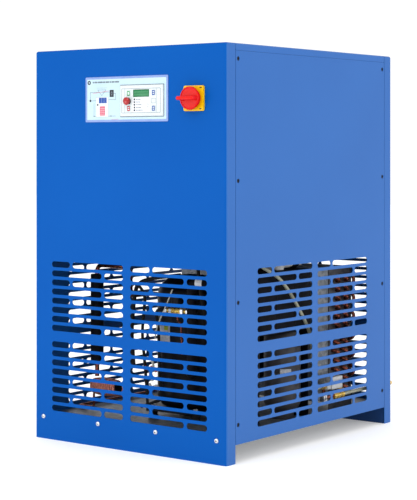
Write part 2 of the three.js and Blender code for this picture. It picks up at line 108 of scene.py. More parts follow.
def place(name, bm, finish, body="root", replaces=(), smooth=35):
    """Makes a mesh a piece that rides on a body, with its look."""
    bmesh.ops.recalc_face_normals(bm, faces=bm.faces[:])
    mesh = bpy.data.meshes.new(name)
    bm.to_mesh(mesh)
    bm.free()
    if smooth:
        mesh.polygons.foreach_set("use_smooth", [True] * len(mesh.polygons))
        mesh.set_sharp_from_angle(angle=radians(smooth))
    mesh.materials.append(LOOKS[finish])
    piece = bpy.data.objects.new(name, mesh)
    bpy.context.scene.collection.objects.link(piece)
    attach(piece, body)
    if replaces:
        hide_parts(*replaces)
    return piece


def face_matrix(turn, distance):
    """From a face's own u (right), v (up), w (outward) to the frame's X, Y, Z."""
    stand = Matrix.Rotation(pi / 2, 4, "X")
    return Matrix.Rotation(turn, 4, "Z") @ Matrix.Translation((0, -distance, 0)) @ stand


FRONT_MATRIX = face_matrix(0, FACE)
RIGHT_MATRIX = face_matrix(pi / 2, HALF_W)
REAR_MATRIX = face_matrix(pi, FACE)
LEFT_MATRIX = face_matrix(-pi / 2, HALF_W)
TOP_MATRIX = Matrix.Translation((0, 0, HEIGHT))


def filled(outer, holes, low, high):
    """A flat sheet with holes between w = low and w = high, as a bmesh."""
    curve = bpy.data.curves.new("outline", "CURVE")
    curve.dimensions = "2D"
    curve.fill_mode = "BOTH"
    curve.extrude = (high - low) / 2
    for loop in [outer, *holes]:
        spline = curve.splines.new("POLY")
        spline.points.add(len(loop) - 1)
        for point, (u, v) in zip(spline.points, loop):
            point.co = (u, v, 0, 1)
        spline.use_cyclic_u = True
    holder = bpy.data.objects.new("outline", curve)
    bpy.context.scene.collection.objects.link(holder)
    evaluated = holder.evaluated_get(bpy.context.evaluated_depsgraph_get())
    mesh = bpy.data.meshes.new_from_object(evaluated)
    bm = bmesh.new()
    bm.from_mesh(mesh)
    bpy.data.objects.remove(holder)
    bpy.data.curves.remove(curve)
    bpy.data.meshes.remove(mesh)
    bmesh.ops.translate(bm, verts=bm.verts[:], vec=(0, 0, (low + high) / 2))
    bmesh.ops.remove_doubles(bm, verts=bm.verts[:], dist=1e-7)
    return bm


def merge(bm, other, matrix=None):
    """Adds another bmesh to this one, and frees it."""
    if matrix is not None:
        bmesh.ops.transform(other, matrix=matrix, verts=other.verts[:])
    mesh = bpy.data.meshes.new("part")
    other.to_mesh(mesh)
    other.free()
    bm.from_mesh(mesh)
    bpy.data.meshes.remove(mesh)
    return bm


def arc_loop(u, v, radius, steps=16):
    """A round outline."""
    angles = [2 * pi * i / steps for i in range(steps)]
    return [(u + radius * cos(angle), v + radius * sin(angle)) for angle in angles]


def rounded_loop(u0, u1, v0, v1, radius, steps=5):
    """A rectangle with round corners."""
    loop = []
    centres = ((u1 - radius, v1 - radius), (u0 + radius, v1 - radius),
               (u0 + radius, v0 + radius), (u1 - radius, v0 + radius))
    for quarter, (cu, cv) in enumerate(centres):
        for i in range(steps + 1):
            angle = (quarter + i / steps) * pi / 2
            loop.append((cu + radius * cos(angle), cv + radius * sin(angle)))
    return loop


def tidy_box(low, high, edge=0.6 * MM, segments=2):
    """A box with rounded edges."""
    bm = bmesh.new()
    size = Vector(high) - Vector(low)
    centre = (Vector(high) + Vector(low)) / 2
    bmesh.ops.create_cube(bm, size=1, matrix=Matrix.Translation(centre) @ Matrix.Diagonal((*size, 1)))
    if edge:
        bmesh.ops.bevel(bm, geom=bm.edges[:], offset=edge, segments=segments, profile=0.5, affect="EDGES")
    return bm


def merge_box(bm, low, high):
    """A plain thin plate added to a mesh."""
    corners = []
    for x in (low[0], high[0]):
        for y in (low[1], high[1]):
            corners += [bm.verts.new((x, y, z)) for z in (low[2], high[2])]
    for a, b, c, d in ((0, 1, 3, 2), (4, 6, 7, 5), (0, 4, 5, 1), (2, 3, 7, 6), (0, 2, 6, 4), (1, 5, 7, 3)):
        bm.faces.new((corners[a], corners[b], corners[c], corners[d]))


def turned(profile, segments=32, matrix=None):
    """A turned piece: [radius, height] points about Z, closed at the axis where the radius is 0."""
    bm = bmesh.new()
    rings = []
    for radius, height in profile:
        if radius <= 0:
            rings.append([bm.verts.new((0, 0, height))])
            continue
        angles = [(2 * pi * i / segments) for i in range(segments)]
        rings.append([bm.verts.new((radius * cos(a), radius * sin(a), height)) for a in angles])
    for first, second in zip(rings, rings[1:]):
        for i in range(segments):
            j = (i + 1) % segments
            corners = [first[i % len(first)], first[j % len(first)],
                       second[j % len(second)], second[i % len(second)]]
            kept = list(dict.fromkeys(corners))
            if len(kept) > 2:
                bm.faces.new(kept)
    if matrix is not None:
        bmesh.ops.transform(bm, matrix=matrix, verts=bm.verts[:])
    return bm


def ring_turned(profile, segments=32, matrix=None):
    """A turned piece whose profile closes on itself, such as a pipe end."""
    return turned([*profile, profile[0]], segments, matrix)


def rod(radius, length, sides, matrix):
    """A solid cylinder or prism, its sizes in millimetres."""
    return turned(in_mm([(0, 0), (radius, 0), (radius, length), (0, length)]), sides, matrix)


def along(point, direction):
    """A matrix that stands Z along a direction at a point."""
    turn = Vector((0, 0, 1)).rotation_difference(Vector(direction)).to_matrix().to_4x4()
    return Matrix.Translation(Vector(point)) @ turn


def filleted(points, bend, steps=6):
    """Corner points with each corner rounded off."""
    route = [points[0]]
    for before, corner, after in zip(points, points[1:], points[2:]):
        start = corner + (before - corner).normalized() * bend
        end = corner + (after - corner).normalized() * bend
        for i in range(steps + 1):
            t = i / steps
            route.append(start * (1 - t) ** 2 + corner * (2 * t * (1 - t)) + end * t ** 2)
    route.append(points[-1])
    return route


def swept(points, radius, sides=14):
    """A round bar along points, with flat ends. The radius may be a function of the step."""
    bm = bmesh.new()
    tangents = []
    for i in range(len(points)):
        ahead = points[min(i + 1, len(points) - 1)] - points[max(i - 1, 0)]
        tangents.append(ahead.normalized())
    normal = tangents[0].orthogonal().normalized()
    rings = []
    for i, (point, tangent) in enumerate(zip(points, tangents)):
        if i:
            normal = (tangents[i - 1].rotation_difference(tangent) @ normal).normalized()
        side = tangent.cross(normal)
        size = radius(i) if callable(radius) else radius
        angles = [2 * pi * k / sides for k in range(sides)]
        rings.append([bm.verts.new(point + (normal * cos(a) + side * sin(a)) * size) for a in angles])
    for first, second in zip(rings, rings[1:]):
        for k in range(sides):
            m = (k + 1) % sides
            bm.faces.new((first[k], first[m], second[m], second[k]))
    bm.faces.new(rings[0][::-1])
    bm.faces.new(rings[-1])
    return bm


def smooth_route(points, per_span=6):
    """A Catmull-Rom route through points."""
    ends = [points[0] * 2 - points[1], *points, points[-1] * 2 - points[-2]]
    route = []
    for p0, p1, p2, p3 in zip(ends, ends[1:], ends[2:], ends[3:]):
        for i in range(per_span):
            t = i / per_span
            route.append(0.5 * (p1 * 2 + (p2 - p0) * t + (p0 * 2 - p1 * 5 + p2 * 4 - p3) * t * t
                                + (p1 * 3 - p0 - p2 * 3 + p3) * t ** 3))
    route.append(points[-1])
    return route


def tube(name, points, radius, bend_size, finish, replaces=(), sides=16):
    """A pipe through corner points with round bends, in millimetres."""
    route = filleted([mm(*point) for point in points], bend_size * MM, 8)
    return place(name, swept(route, radius * MM, sides), finish, replaces=replaces)


def cable(name, points, radius, sides, finish, replaces=()):
    """A hose or a wire on a smooth route through points, in millimetres."""
    route = smooth_route([mm(*point) for point in points], 8)
    return place(name, swept(route, radius * MM, sides), finish, replaces=replaces)


# ---- Materials --------------------------------------------------------------------------------

def set_inputs(node, values):
    """Sets inputs of a node by their names."""
    for label, value in values.items():
        node.inputs[label].default_value = value
    return node


def look(name, light, dark, rough=(0.4, 0.5), metal=0.0, patch=8.0, grain=900.0, depth=0.05,
         cells=False, coat=0.0, glow=0.0, shine=0.5):
    """A node material: two tones in soft patches, a varied roughness and a fine grain in the surface."""
    made = bpy.data.materials.new(name)
    made.use_nodes = True
    nodes, links = made.node_tree.nodes, made.node_tree.links
    shader = nodes["Principled BSDF"]
    set_inputs(shader, {"Metallic": metal, "Coat Weight": coat, "Coat Roughness": 0.2,
                        "Specular IOR Level": shine})
    place_in = nodes.new("ShaderNodeTexCoord")

    if cells:
        spots = set_inputs(nodes.new("ShaderNodeTexVoronoi"), {"Scale": patch})
        tone = spots.outputs["Color"]
    else:
        spots = set_inputs(nodes.new("ShaderNodeTexNoise"), {"Scale": patch, "Detail": 5})
        tone = spots.outputs["Fac"]
    links.new(place_in.outputs["Object"], spots.inputs["Vector"])
    ramp = nodes.new("ShaderNodeValToRGB")
    for stop, position, colour in zip(ramp.color_ramp.elements, (0.3, 0.7), (dark, light)):
        stop.position = position
        stop.color = (*colour, 1)
    links.new(tone, ramp.inputs["Fac"])
    links.new(ramp.outputs["Color"], shader.inputs["Base Color"])
    if glow:
        links.new(ramp.outputs["Color"], shader.inputs["Emission Color"])
        shader.inputs["Emission Strength"].default_value = glow

    speck = set_inputs(nodes.new("ShaderNodeTexNoise"), {"Scale": grain, "Detail": 3})
    links.new(place_in.outputs["Object"], speck.inputs["Vector"])
    spread = set_inputs(nodes.new("ShaderNodeMapRange"), {"To Min": rough[0], "To Max": rough[1]})
    links.new(speck.outputs["Fac"], spread.inputs["Value"])
    links.new(spread.outputs["Result"], shader.inputs["Roughness"])
    bump = set_inputs(nodes.new("ShaderNodeBump"), {"Strength": depth, "Distance": 0.3 * MM})
    links.new(speck.outputs["Fac"], bump.inputs["Height"])
    links.new(bump.outputs["Normal"], shader.inputs["Normal"])
    return made


LOOKS = {
    # front_coat and side_coat_painted_sheen are one blue paint: side_coat_painted_sheen is a lit copy with
    # painted sheen, lighter and greyer, for the side, rear and top sheets.
    "front_panel": look("front_coat", (0.0006, 0.084, 0.376), (0.0004, 0.078, 0.358), (0.42, 0.52), patch=3,
        shine=0.05),
    "side_panels": look("side_coat_painted_sheen", (0.008, 0.104, 0.375), (0.006, 0.096, 0.355), (0.40, 0.50), patch=3,
        shine=0.36),
    "galvanised": look("galvanised_sheet", (0.27, 0.29, 0.32), (0.17, 0.19, 0.21), (0.38, 0.55), metal=0.7,
        patch=110, grain=300, depth=0.03, cells=True),
    "screws": look("zinc_plate", (0.75, 0.76, 0.78), (0.58, 0.60, 0.62), (0.22, 0.35), metal=0.85,
                   patch=300),
    "black_screws": look("black_zinc", (0.010, 0.010, 0.012), (0.005, 0.005, 0.006), (0.4, 0.5), metal=0.2,
        shine=0.2),
    "label": look("label_film", (0.50, 0.66, 0.74), (0.45, 0.61, 0.70), (0.35, 0.45), patch=18, depth=0.02,
                  shine=0.3),
    "label_border": look("label_border_print", (0.22, 0.31, 0.60), (0.17, 0.26, 0.55), (0.35, 0.45),
        patch=40),
    "label_card": look("label_white_print", (0.72, 0.75, 0.78), (0.67, 0.70, 0.74), (0.35, 0.45), patch=40,
        shine=0.3),
    "label_bright": look("label_bright_print", (0.95, 0.96, 0.98), (0.70, 0.72, 0.78), (0.35, 0.45),
        patch=160, shine=0.4),
    "print_grey": look("grey_print", (0.16, 0.21, 0.25), (0.12, 0.16, 0.20), (0.4, 0.5), patch=60),
    "print_dark": look("dark_print", (0.014, 0.018, 0.024), (0.008, 0.011, 0.015), (0.35, 0.5), patch=60,
        shine=0.3),
    "print_blue": look("blue_print", (0.022, 0.085, 0.36), (0.016, 0.065, 0.30), (0.35, 0.5), patch=120,
        shine=0.3),
    "print_red": look("red_print", (0.50, 0.016, 0.035), (0.42, 0.010, 0.026), (0.35, 0.5), patch=120,
        shine=0.3),
    "print_pink": look("pink_print", (0.62, 0.14, 0.20), (0.56, 0.09, 0.15), (0.35, 0.5), patch=160),
    "print_green": look("green_print", (0.035, 0.34, 0.10), (0.025, 0.28, 0.08), (0.35, 0.5), patch=120),
    "white_plastic": look("white_moulding", (0.64, 0.70, 0.72), (0.59, 0.66, 0.68), (0.38, 0.48), patch=20,
        depth=0.04, shine=0.3),
    "display": look("display_glass", (0.010, 0.17, 0.060), (0.006, 0.12, 0.042), (0.14, 0.2), patch=420,
        shine=0.3),
    "display_cells": look("display_cells", (0.022, 0.24, 0.088), (0.016, 0.19, 0.068), (0.25, 0.35),
        patch=420),
    "stop_button": look("button_red", (0.42, 0.006, 0.008), (0.32, 0.004, 0.006), (0.16, 0.26), coat=0.3,
        shine=0.4),
    "switch_plate": look("switch_yellow", (0.84, 0.53, 0.001), (0.78, 0.46, 0.001), (0.28, 0.38),
        shine=0.25),
    "switch_handle": look("switch_red", (0.74, 0.006, 0.002), (0.62, 0.004, 0.001), (0.28, 0.38),
        shine=0.22),
    "grey_plastic": look("grey_moulding", (0.46, 0.47, 0.47), (0.38, 0.39, 0.40), (0.42, 0.55), patch=60),
    "black_paint": look("black_enamel", (0.007, 0.008, 0.012), (0.003, 0.003, 0.006), (0.30, 0.46),
        patch=30, grain=220, shine=0.14),
    "rubber": look("black_rubber", (0.012, 0.012, 0.013), (0.006, 0.006, 0.007), (0.65, 0.8), grain=1500,
                   depth=0.1, shine=0.2),
    "foam": look("insulation_foam", (0.007, 0.008, 0.012), (0.003, 0.003, 0.006), (0.6, 0.8), patch=60,
                 grain=900, depth=0.25, shine=0.1),
    "fins": look("fin_aluminium", (0.30, 0.32, 0.34), (0.18, 0.20, 0.22), (0.35, 0.5), metal=0.8, patch=40),
    "dark_steel": look("dark_grey_paint", (0.060, 0.058, 0.064), (0.038, 0.037, 0.042), (0.38, 0.5),
        patch=25, grain=260, shine=0.35),
    "air_pipes": look("silver_paint", (0.92, 0.92, 0.92), (0.82, 0.82, 0.83), (0.4, 0.5), metal=0.0,
        patch=30),
    "copper": look("bare_copper", (0.46, 0.135, 0.070), (0.18, 0.045, 0.024), (0.12, 0.3), metal=0.95,
                   patch=70, grain=400),
    "old_copper": look("oxidised_copper", (0.28, 0.075, 0.042), (0.10, 0.024, 0.016), (0.14, 0.3),
        metal=0.85, patch=110, grain=400),
    "ribbed_copper": look("ribbed_copper", (0.74, 0.30, 0.22), (0.42, 0.13, 0.095), (0.25, 0.4), metal=0.45,
        patch=90, grain=400),
    "brass": look("bare_brass", (0.74, 0.52, 0.14), (0.56, 0.36, 0.07), (0.2, 0.34), metal=0.75, patch=90),
    "handle_yellow": look("dipped_yellow", (0.80, 0.50, 0.02), (0.70, 0.42, 0.015), (0.3, 0.42), patch=120),
    "hose": look("hose_wall", (0.42, 0.43, 0.33), (0.30, 0.31, 0.22), (0.22, 0.36), patch=50, coat=0.2),
    "wire_white": look("wire_sheath", (0.60, 0.60, 0.54), (0.50, 0.50, 0.44), (0.35, 0.5), patch=60),
    "wire_red": look("wire_red_sheath", (0.40, 0.03, 0.03), (0.30, 0.02, 0.02), (0.35, 0.5), patch=60),
    "shaded_blue": look("shaded_blue_coat", (0.004, 0.040, 0.150), (0.003, 0.030, 0.120), (0.45, 0.55),
        patch=3, shine=0.2),
    # Painted shade: end_sheet is a dark copy of sheet steel for the condenser's end sheets, which stand in
    # shade.
    "end_sheet": look("condenser_end_sheet_painted_shade", (0.11, 0.11, 0.12), (0.05, 0.05, 0.06), (0.4, 0.55), metal=0.6,
        patch=60),
    "tag_green": look("tag_print", (0.55, 0.62, 0.03), (0.44, 0.52, 0.02), (0.4, 0.5), patch=160),
}
NODE_LOOKS = {"green_key": "white_plastic", "red_key": "white_plastic", "blue_keys": "white_plastic"}
SHADED = dict.fromkeys(("front_base_beam", "rear_base_beam", "front_left_post", "front_right_post",
                        "rear_left_post", "rear_right_post"), "shaded_blue")
# Painted shade: the condenser's end sheets take the dark end_sheet look.
SHADED |= dict.fromkeys(("condenser_left_sheet", "condenser_right_sheet"), "end_sheet")


def dress_nodes():
    """Gives every CAD node the look of its record slot."""
    for row in frame["record"]["subparts"]:
        slot = row["material_slot"]
        node = frame["nodes"][row["node"]]
        chosen = LOOKS[SHADED.get(row["node"], NODE_LOOKS.get(slot, slot))]
        if not node.material_slots:
            node.data.materials.append(chosen)
        for holder in node.material_slots:
            holder.link = "OBJECT"
            holder.material = chosen


# ---- Sheet metal ------------------------------------------------------------------------------

def slot_loops():
    """The outlines of all slots of one face, in u and v."""
    loops = []
    for top in BLOCK_TOPS:
        for left in (-BLOCK_INNER - BLOCK_WIDTH, BLOCK_INNER):
            right = left + BLOCK_WIDTH
            for row in range(SLOT_ROWS):
                v = top - row * SLOT_PITCH
                web = left + SLOT_SHORT if row % 2 == 0 else right - SLOT_SHORT - SLOT_WEB
                for u0, u1 in ((left, web), (web + SLOT_WEB, right)):
                    low, high = v - SLOT_RADIUS, v + SLOT_RADIUS
                    loops.append(rounded_loop(u0, u1, low, high, SLOT_RADIUS * 0.999, 8))
    return loops


def bend(bm, axis, start, sign):
    """Bends what lies past a line inward by a right angle."""
    mid = BEND - SHEET / 2
    normal = Vector((axis == 0, axis == 1, 0)) * sign
    for i in range(BEND_STEPS + 1):
        at = normal * (start + mid * pi / 2 * i / BEND_STEPS)
        everything = bm.verts[:] + bm.edges[:] + bm.faces[:]
        bmesh.ops.bisect_plane(bm, geom=everything, dist=1e-7, plane_co=at, plane_no=normal)
    for vert in bm.verts:
        over = vert.co[axis] * sign - start
        if over <= 1e-9:
            continue
        angle = min(over / mid, pi / 2)
        rest = max(over - mid * pi / 2, 0)
        reach = BEND + vert.co.z
        vert.co[axis] = sign * (start + reach * sin(angle))
        vert.co.z = -BEND + reach * cos(angle) - rest


def corner_patch(sign, flat_u, flat_v):
    """The ground weld that closes the corner between the side return and the top return."""
    bm = bmesh.new()
    centre = Vector((sign * flat_u, flat_v, -BEND))
    rows = []
    for radius in (BEND, BEND - SHEET):
        shell = []
        for j in range(BEND_STEPS + 2):
            phi = pi / 2 * (1 - j / BEND_STEPS) if j <= BEND_STEPS else 0
            back = RETURN - BEND if j > BEND_STEPS else 0
            row = []
            for i in range(BEND_STEPS + 1):
                theta = pi / 2 * i / BEND_STEPS
                way = Vector((sign * cos(phi) * cos(theta), cos(phi) * sin(theta), sin(phi)))
                row.append(bm.verts.new(centre + way * radius - Vector((0, 0, back))))
            shell.append(row)
        rows.append(shell)
    for shell in rows:
        for first, second in zip(shell, shell[1:]):
            for i in range(BEND_STEPS):
                bm.faces.new((first[i], first[i + 1], second[i + 1], second[i]))
    outer, inner = rows
    for first, second in zip(outer[-1], outer[-1][1:]):
        i = outer[-1].index(first)
        bm.faces.new((first, second, inner[-1][i + 1], inner[-1][i]))
    for side in (0, -1):
        for j in range(len(outer) - 1):
            bm.faces.new((outer[j][side], outer[j + 1][side], inner[j + 1][side], inner[j][side]))
    bmesh.ops.remove_doubles(bm, verts=bm.verts[:], dist=1e-6)
    return bm


def end_sheet(holes):
    """A front or rear panel: a cross-shaped blank with slots, bent at both sides and at the top."""
    flat_u = HALF_W - BEND
    flat_v = HEIGHT - BEND
    wing = (BEND - SHEET / 2) * pi / 2 + RETURN - BEND
    outer = [(-flat_u - wing, 0), (flat_u + wing, 0), (flat_u + wing, flat_v), (flat_u, flat_v),
             (flat_u, flat_v + wing), (-flat_u, flat_v + wing), (-flat_u, flat_v), (-flat_u - wing, flat_v)]
    bm = filled(outer, [*slot_loops(), *holes], -SHEET, 0)
    for axis, start, sign in ((0, flat_u, 1), (0, flat_u, -1), (1, flat_v, 1)):
        bend(bm, axis, start, sign)
    for sign in (1, -1):
        merge(bm, corner_patch(sign, flat_u, flat_v))
    return bm


def cabinet():
    """The bent front, rear and top sheets and the two flat side sheets."""
    bezel_low, bezel_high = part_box("controller_housing")
    inset = 3.5 * MM
    window = rounded_loop(bezel_low[0] + inset, bezel_high[0] - inset,
                          bezel_low[2] + inset, bezel_high[2] - inset, MM)
    knob_low, knob_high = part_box("main_switch_plate")
    shaft = arc_loop((knob_low[0] + knob_high[0]) / 2, (knob_low[2] + knob_high[2]) / 2, 10 * MM)
    front = merge(bmesh.new(), end_sheet([window, shaft]), FRONT_MATRIX)
    sheet = place("front_sheet", front, "front_panel", replaces=["front_panel"], smooth=0)
    # Painted sheen: the faces of the front sheet that look sideways take the side coat, the lit copy of the
    # blue paint.
    sheet.data.materials.append(LOOKS["side_panels"])
    for face in sheet.data.polygons:
        face.material_index = int(abs(face.normal.x) > 0.75)

    holes = []
    for node in ("air_inlet_pipe", "air_outlet_pipe"):
        low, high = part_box(node)
        holes.append(arc_loop(-(low[0] + high[0]) / 2, high[2] - PIPE_RADIUS, 27 * MM, 28))
    for node, radius in (("drain_outlet", 8), ("cable_gland", 8.5)):
        low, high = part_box(node)
        holes.append(arc_loop(-(low[0] + high[0]) / 2, (low[2] + high[2]) / 2, radius * MM))
    rear = merge(bmesh.new(), end_sheet(holes), REAR_MATRIX)
    place("rear_sheet", rear, "side_panels", replaces=["rear_panel"], smooth=0)

    half = SIDE_HIGH[1] - 1.2 * MM
    outline = rounded_loop(-half, half, SIDE_LOW[2], SIDE_HIGH[2], 1.2 * MM)
    seats = [arc_loop(u, v, SCREW_SEAT, 24) for u in SIDE_SCREW_U for v in SIDE_SCREW_V]
    for side, matrix in (("right", RIGHT_MATRIX), ("left", LEFT_MATRIX)):
        plate = merge(bmesh.new(), filled(outline, slot_loops() + seats, -SHEET, 0), matrix)
        place(f"{side}_side_sheet", plate, "side_panels",
              replaces=[f"{side}_side_panel"], smooth=0)

    cover_low, cover_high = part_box("top_cover")
    flat = HALF_W - BEND
    wing = (BEND - SHEET / 2) * pi / 2 + (cover_high[2] - cover_low[2]) - BEND
    blank = filled([(-flat - wing, -half), (flat + wing, -half), (flat + wing, half), (-flat - wing, half)],
                   [], -SHEET, 0)
    for sign in (1, -1):
        bend(blank, 0, flat, sign)
    place("top_sheet", merge(bmesh.new(), blank, TOP_MATRIX), "side_panels",
          replaces=["top_cover"], smooth=0)


# ---- Screws -----------------------------------------------------------------------------------

def screw_head(radius, height, recess, sides=6):
    """A domed head with a socket, its seat at height 0."""
    deep = height * 0.35
    profile = [(0, deep), (recess * 0.98, deep), (recess, height * 0.98), (radius * 0.72, height * 0.86),
               (radius * 0.93, height * 0.5), (radius, height * 0.12), (radius * 0.98, 0), (0, 0)]
    bm = turned(profile, 24)
    for vert in bm.verts:
        flat_radius = sqrt(vert.co.x ** 2 + vert.co.y ** 2)
        if 0 < flat_radius < recess * 1.01 and vert.co.z > 0:
            angle = Vector((vert.co.x, vert.co.y)).angle_signed(Vector((1, 0)))
            scale = cos(pi / sides) / cos(angle % (2 * pi / sides) - pi / sides)
            vert.co.x *= scale
            vert.co.y *= scale
    return bm


def pan_head(radius, height):
    """A smooth pan head. No recess is cut: the dark cross on it, painted shade for the recess, is a piece of
    its own.
    """
    profile = [(0, height), (radius * 0.45, height * 0.97), (radius * 0.8, height * 0.78),
               (radius, height * 0.3), (radius, 0), (0, 0)]
    return turned(profile, 28)


def screws():
    """The four bright screws of the front, and the black ones of the sides and the rear."""
    for index in range(1, 5):
        node = f"front_screw_{index}"
        low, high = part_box(node)
        centre = Vector(((low[0] + high[0]) / 2, -FACE - 0.3 * MM, (low[2] + high[2]) / 2))
        head = merge(bmesh.new(), pan_head(6 * MM, 3.3 * MM), along(centre, (0, -1, 0)))
        place(f"front_screw_head_{index}", head, "screws", replaces=[node])
        # Painted shade: a dark cross in the dark print look stands in for the shade in the uncut cross recess.
        cross = bmesh.new()
        for size in ((2.6, 0.7), (0.7, 2.6)):
            u, v = size[0] * MM, size[1] * MM
            low, high = centre + Vector((-u, -3.34 * MM, -v)), centre + Vector((u, -2.9 * MM, v))
            merge(cross, tidy_box(low, high, 0))
        place(f"front_screw_recess_shade_{index}", cross, "print_dark")

    for side, matrix in (("right", RIGHT_MATRIX), ("left", LEFT_MATRIX)):
        bm = bmesh.new()
        for u in SIDE_SCREW_U:
            for v in SIDE_SCREW_V:
                spot = matrix @ Matrix.Translation((u, v, 0))
                sunk = spot @ Matrix.Translation((0, 0, -1.85 * MM))
                merge(bm, screw_head(5.2 * MM, 1.8 * MM, 2.2 * MM), sunk)
                merge(bm, rod(5.5, 0.4, 24, spot @ Matrix.Translation((0, 0, -1.9 * MM))))
        place(f"{side}_side_screws", bm, "black_screws")
    bm = bmesh.new()
    for u in (-294, -98, 98, 294):
        for v in (60, 1000):
            merge(bm, screw_head(4.6 * MM, 2 * MM, 1.9 * MM), REAR_MATRIX @ Matrix.Translation(mm(u, v, 0)))
    place("rear_screws", bm, "black_screws")


# ---- Controls ---------------------------------------------------------------------------------

def print_plate(name, loops, w, look_name, body="root", holes=(), thick=0.12):
    """Flat printed fields on the front, each a thin skin whose outer face is at w, in millimetres."""
    bm = bmesh.new()
    for loop in loops:
        field = filled(in_mm(loop), [in_mm(hole) for hole in holes], (w - thick) * MM, w * MM)
        merge(bm, field, FRONT_MATRIX)
    return place(name, bm, look_name, body, smooth=0)


def strip(u0, v0, u1, v1, wide=1.0):
    """A printed line between two points."""
    way = Vector((u1 - u0, v1 - v0)).normalized() * wide / 2
    side = Vector((-way.y, way.x))
    start, end = Vector((u0, v0)) - way, Vector((u1, v1)) + way
    return [tuple(start - side), tuple(end - side), tuple(end + side), tuple(start + side)]


def dashes(u0, u1, v, high, lengths, space=1.1):
    """A row of short bars that stands where a caption would be."""
    loops = []
    at = u0
    index = 0
    while at < u1:
        end = min(at + lengths[index % len(lengths)], u1)
        loops.append(rounded_loop(at, end, v - high / 2, v + high / 2, high * 0.3, 2))
        at = end + space
        index += 1
    return loops


def fascia():
    """The printed panel: a border, a field and a plain flow drawing without any lettering."""
    u0, u1, v0, v1 = span("control_fascia")
    b0, b1, c0, c1 = span("controller_housing")
    b0, b1, c0, c1 = b0 - 0.5, b1 + 0.5, c0 - 0.5, c1 + 0.5
    opening = rounded_loop(b0, b1, c0, c1, 1.5)
    base = filled(in_mm(rounded_loop(u0, u1, v0, v1, 3)), [in_mm(opening)], 0.3 * MM, 1.15 * MM)
    place("fascia_border", merge(bmesh.new(), base, FRONT_MATRIX), "label_border",
          replaces=["control_fascia"], smooth=0)
    edge = 6
    field = rounded_loop(u0 + edge, u1 - edge, v0 + edge, v1 - edge, 2)
    print_plate("fascia_field", [field], 1.22, "label", holes=[opening])
    outline = rounded_loop(b0 - 1.4, b1 + 1.4, c0 - 1.4, c1 + 1.4, 2)
    print_plate("fascia_window_line", [outline], 1.28, "print_grey", holes=[opening])

    emblem = arc_loop(-128, 959.5, 5.6, 24)
    print_plate("fascia_emblem_ring", [emblem], 1.28, "print_dark",
                holes=[arc_loop(-128, 959.5, 2.2, 20)])
    bars = dashes(-116, -24, 960.2, 4.2, (5, 11, 17, 8, 13))
    print_plate("fascia_caption_bars", bars, 1.28, "print_grey")

    card = rounded_loop(-104, -60.5, 869, 921, 1.5)
    print_plate("fascia_card", [card], 1.28, "label_card")
    print_plate("fascia_card_line", [card], 1.31, "print_grey",
                holes=[rounded_loop(-103.5, -61.0, 869.5, 920.5, 1.2)], thick=0.05)
    blocks = [rounded_loop(-94 + i * 9.2, -85.2 + i * 9.2, 905, 919.5, 0.8) for i in range(3)]
    print_plate("fascia_blue_blocks", blocks, 1.34, "print_blue")
    print_plate("fascia_pink_block", [rounded_loop(-91, -72.5, 872.5, 897, 1.5)], 1.34, "print_pink")
    waves = [strip(-88.5, v, -75, v, 0.7) for v in (876.5, 881.5, 886.5, 891.5)]
    print_plate("fascia_pink_bars", waves, 1.38, "label_card", thick=0.05)
    block = rounded_loop(-56.5, -42.5, 921, 939.5, 1.2)
    print_plate("fascia_dark_block", [block], 1.34, "print_dark")
    mark = rounded_loop(-52, -47, 925, 935, 1)
    print_plate("fascia_dark_mark", [mark], 1.38, "print_grey", thick=0.05,
                holes=[rounded_loop(-50.6, -48.4, 927.5, 932.5, 0.5)])
    dots = [arc_loop(-123.7, 912, 3.1, 18), arc_loop(-98, 901, 2.6, 18), arc_loop(-111, 871, 1.5, 12),
            arc_loop(-52, 871, 1.5, 12)]
    print_plate("fascia_dots", dots, 1.34, "print_dark")
    lines = [strip(-123.7, 915, -123.7, 934), strip(-123.7, 934, -57, 934), strip(-42, 930, -36, 930),
             strip(-36, 930, -36, 914), strip(-36, 914, -60, 914), strip(-120, 912, -104, 912),
             strip(-111, 905, -111, 871), strip(-111, 871, -104, 871), strip(-60, 871, -36, 871),
             strip(-98, 940, -70, 940), strip(-98, 940, -84, 925), strip(-70, 940, -84, 925),
             strip(-100, 945, -66, 945, 0.5)]
    print_plate("fascia_lines", lines, 1.31, "print_grey", thick=0.08)
    print_plate("fascia_red_lines", [strip(-115, 931, -60, 937, 0.9), strip(-50, 862.5, -26, 862.5, 0.7)],
                1.33, "print_pink", thick=0.08)


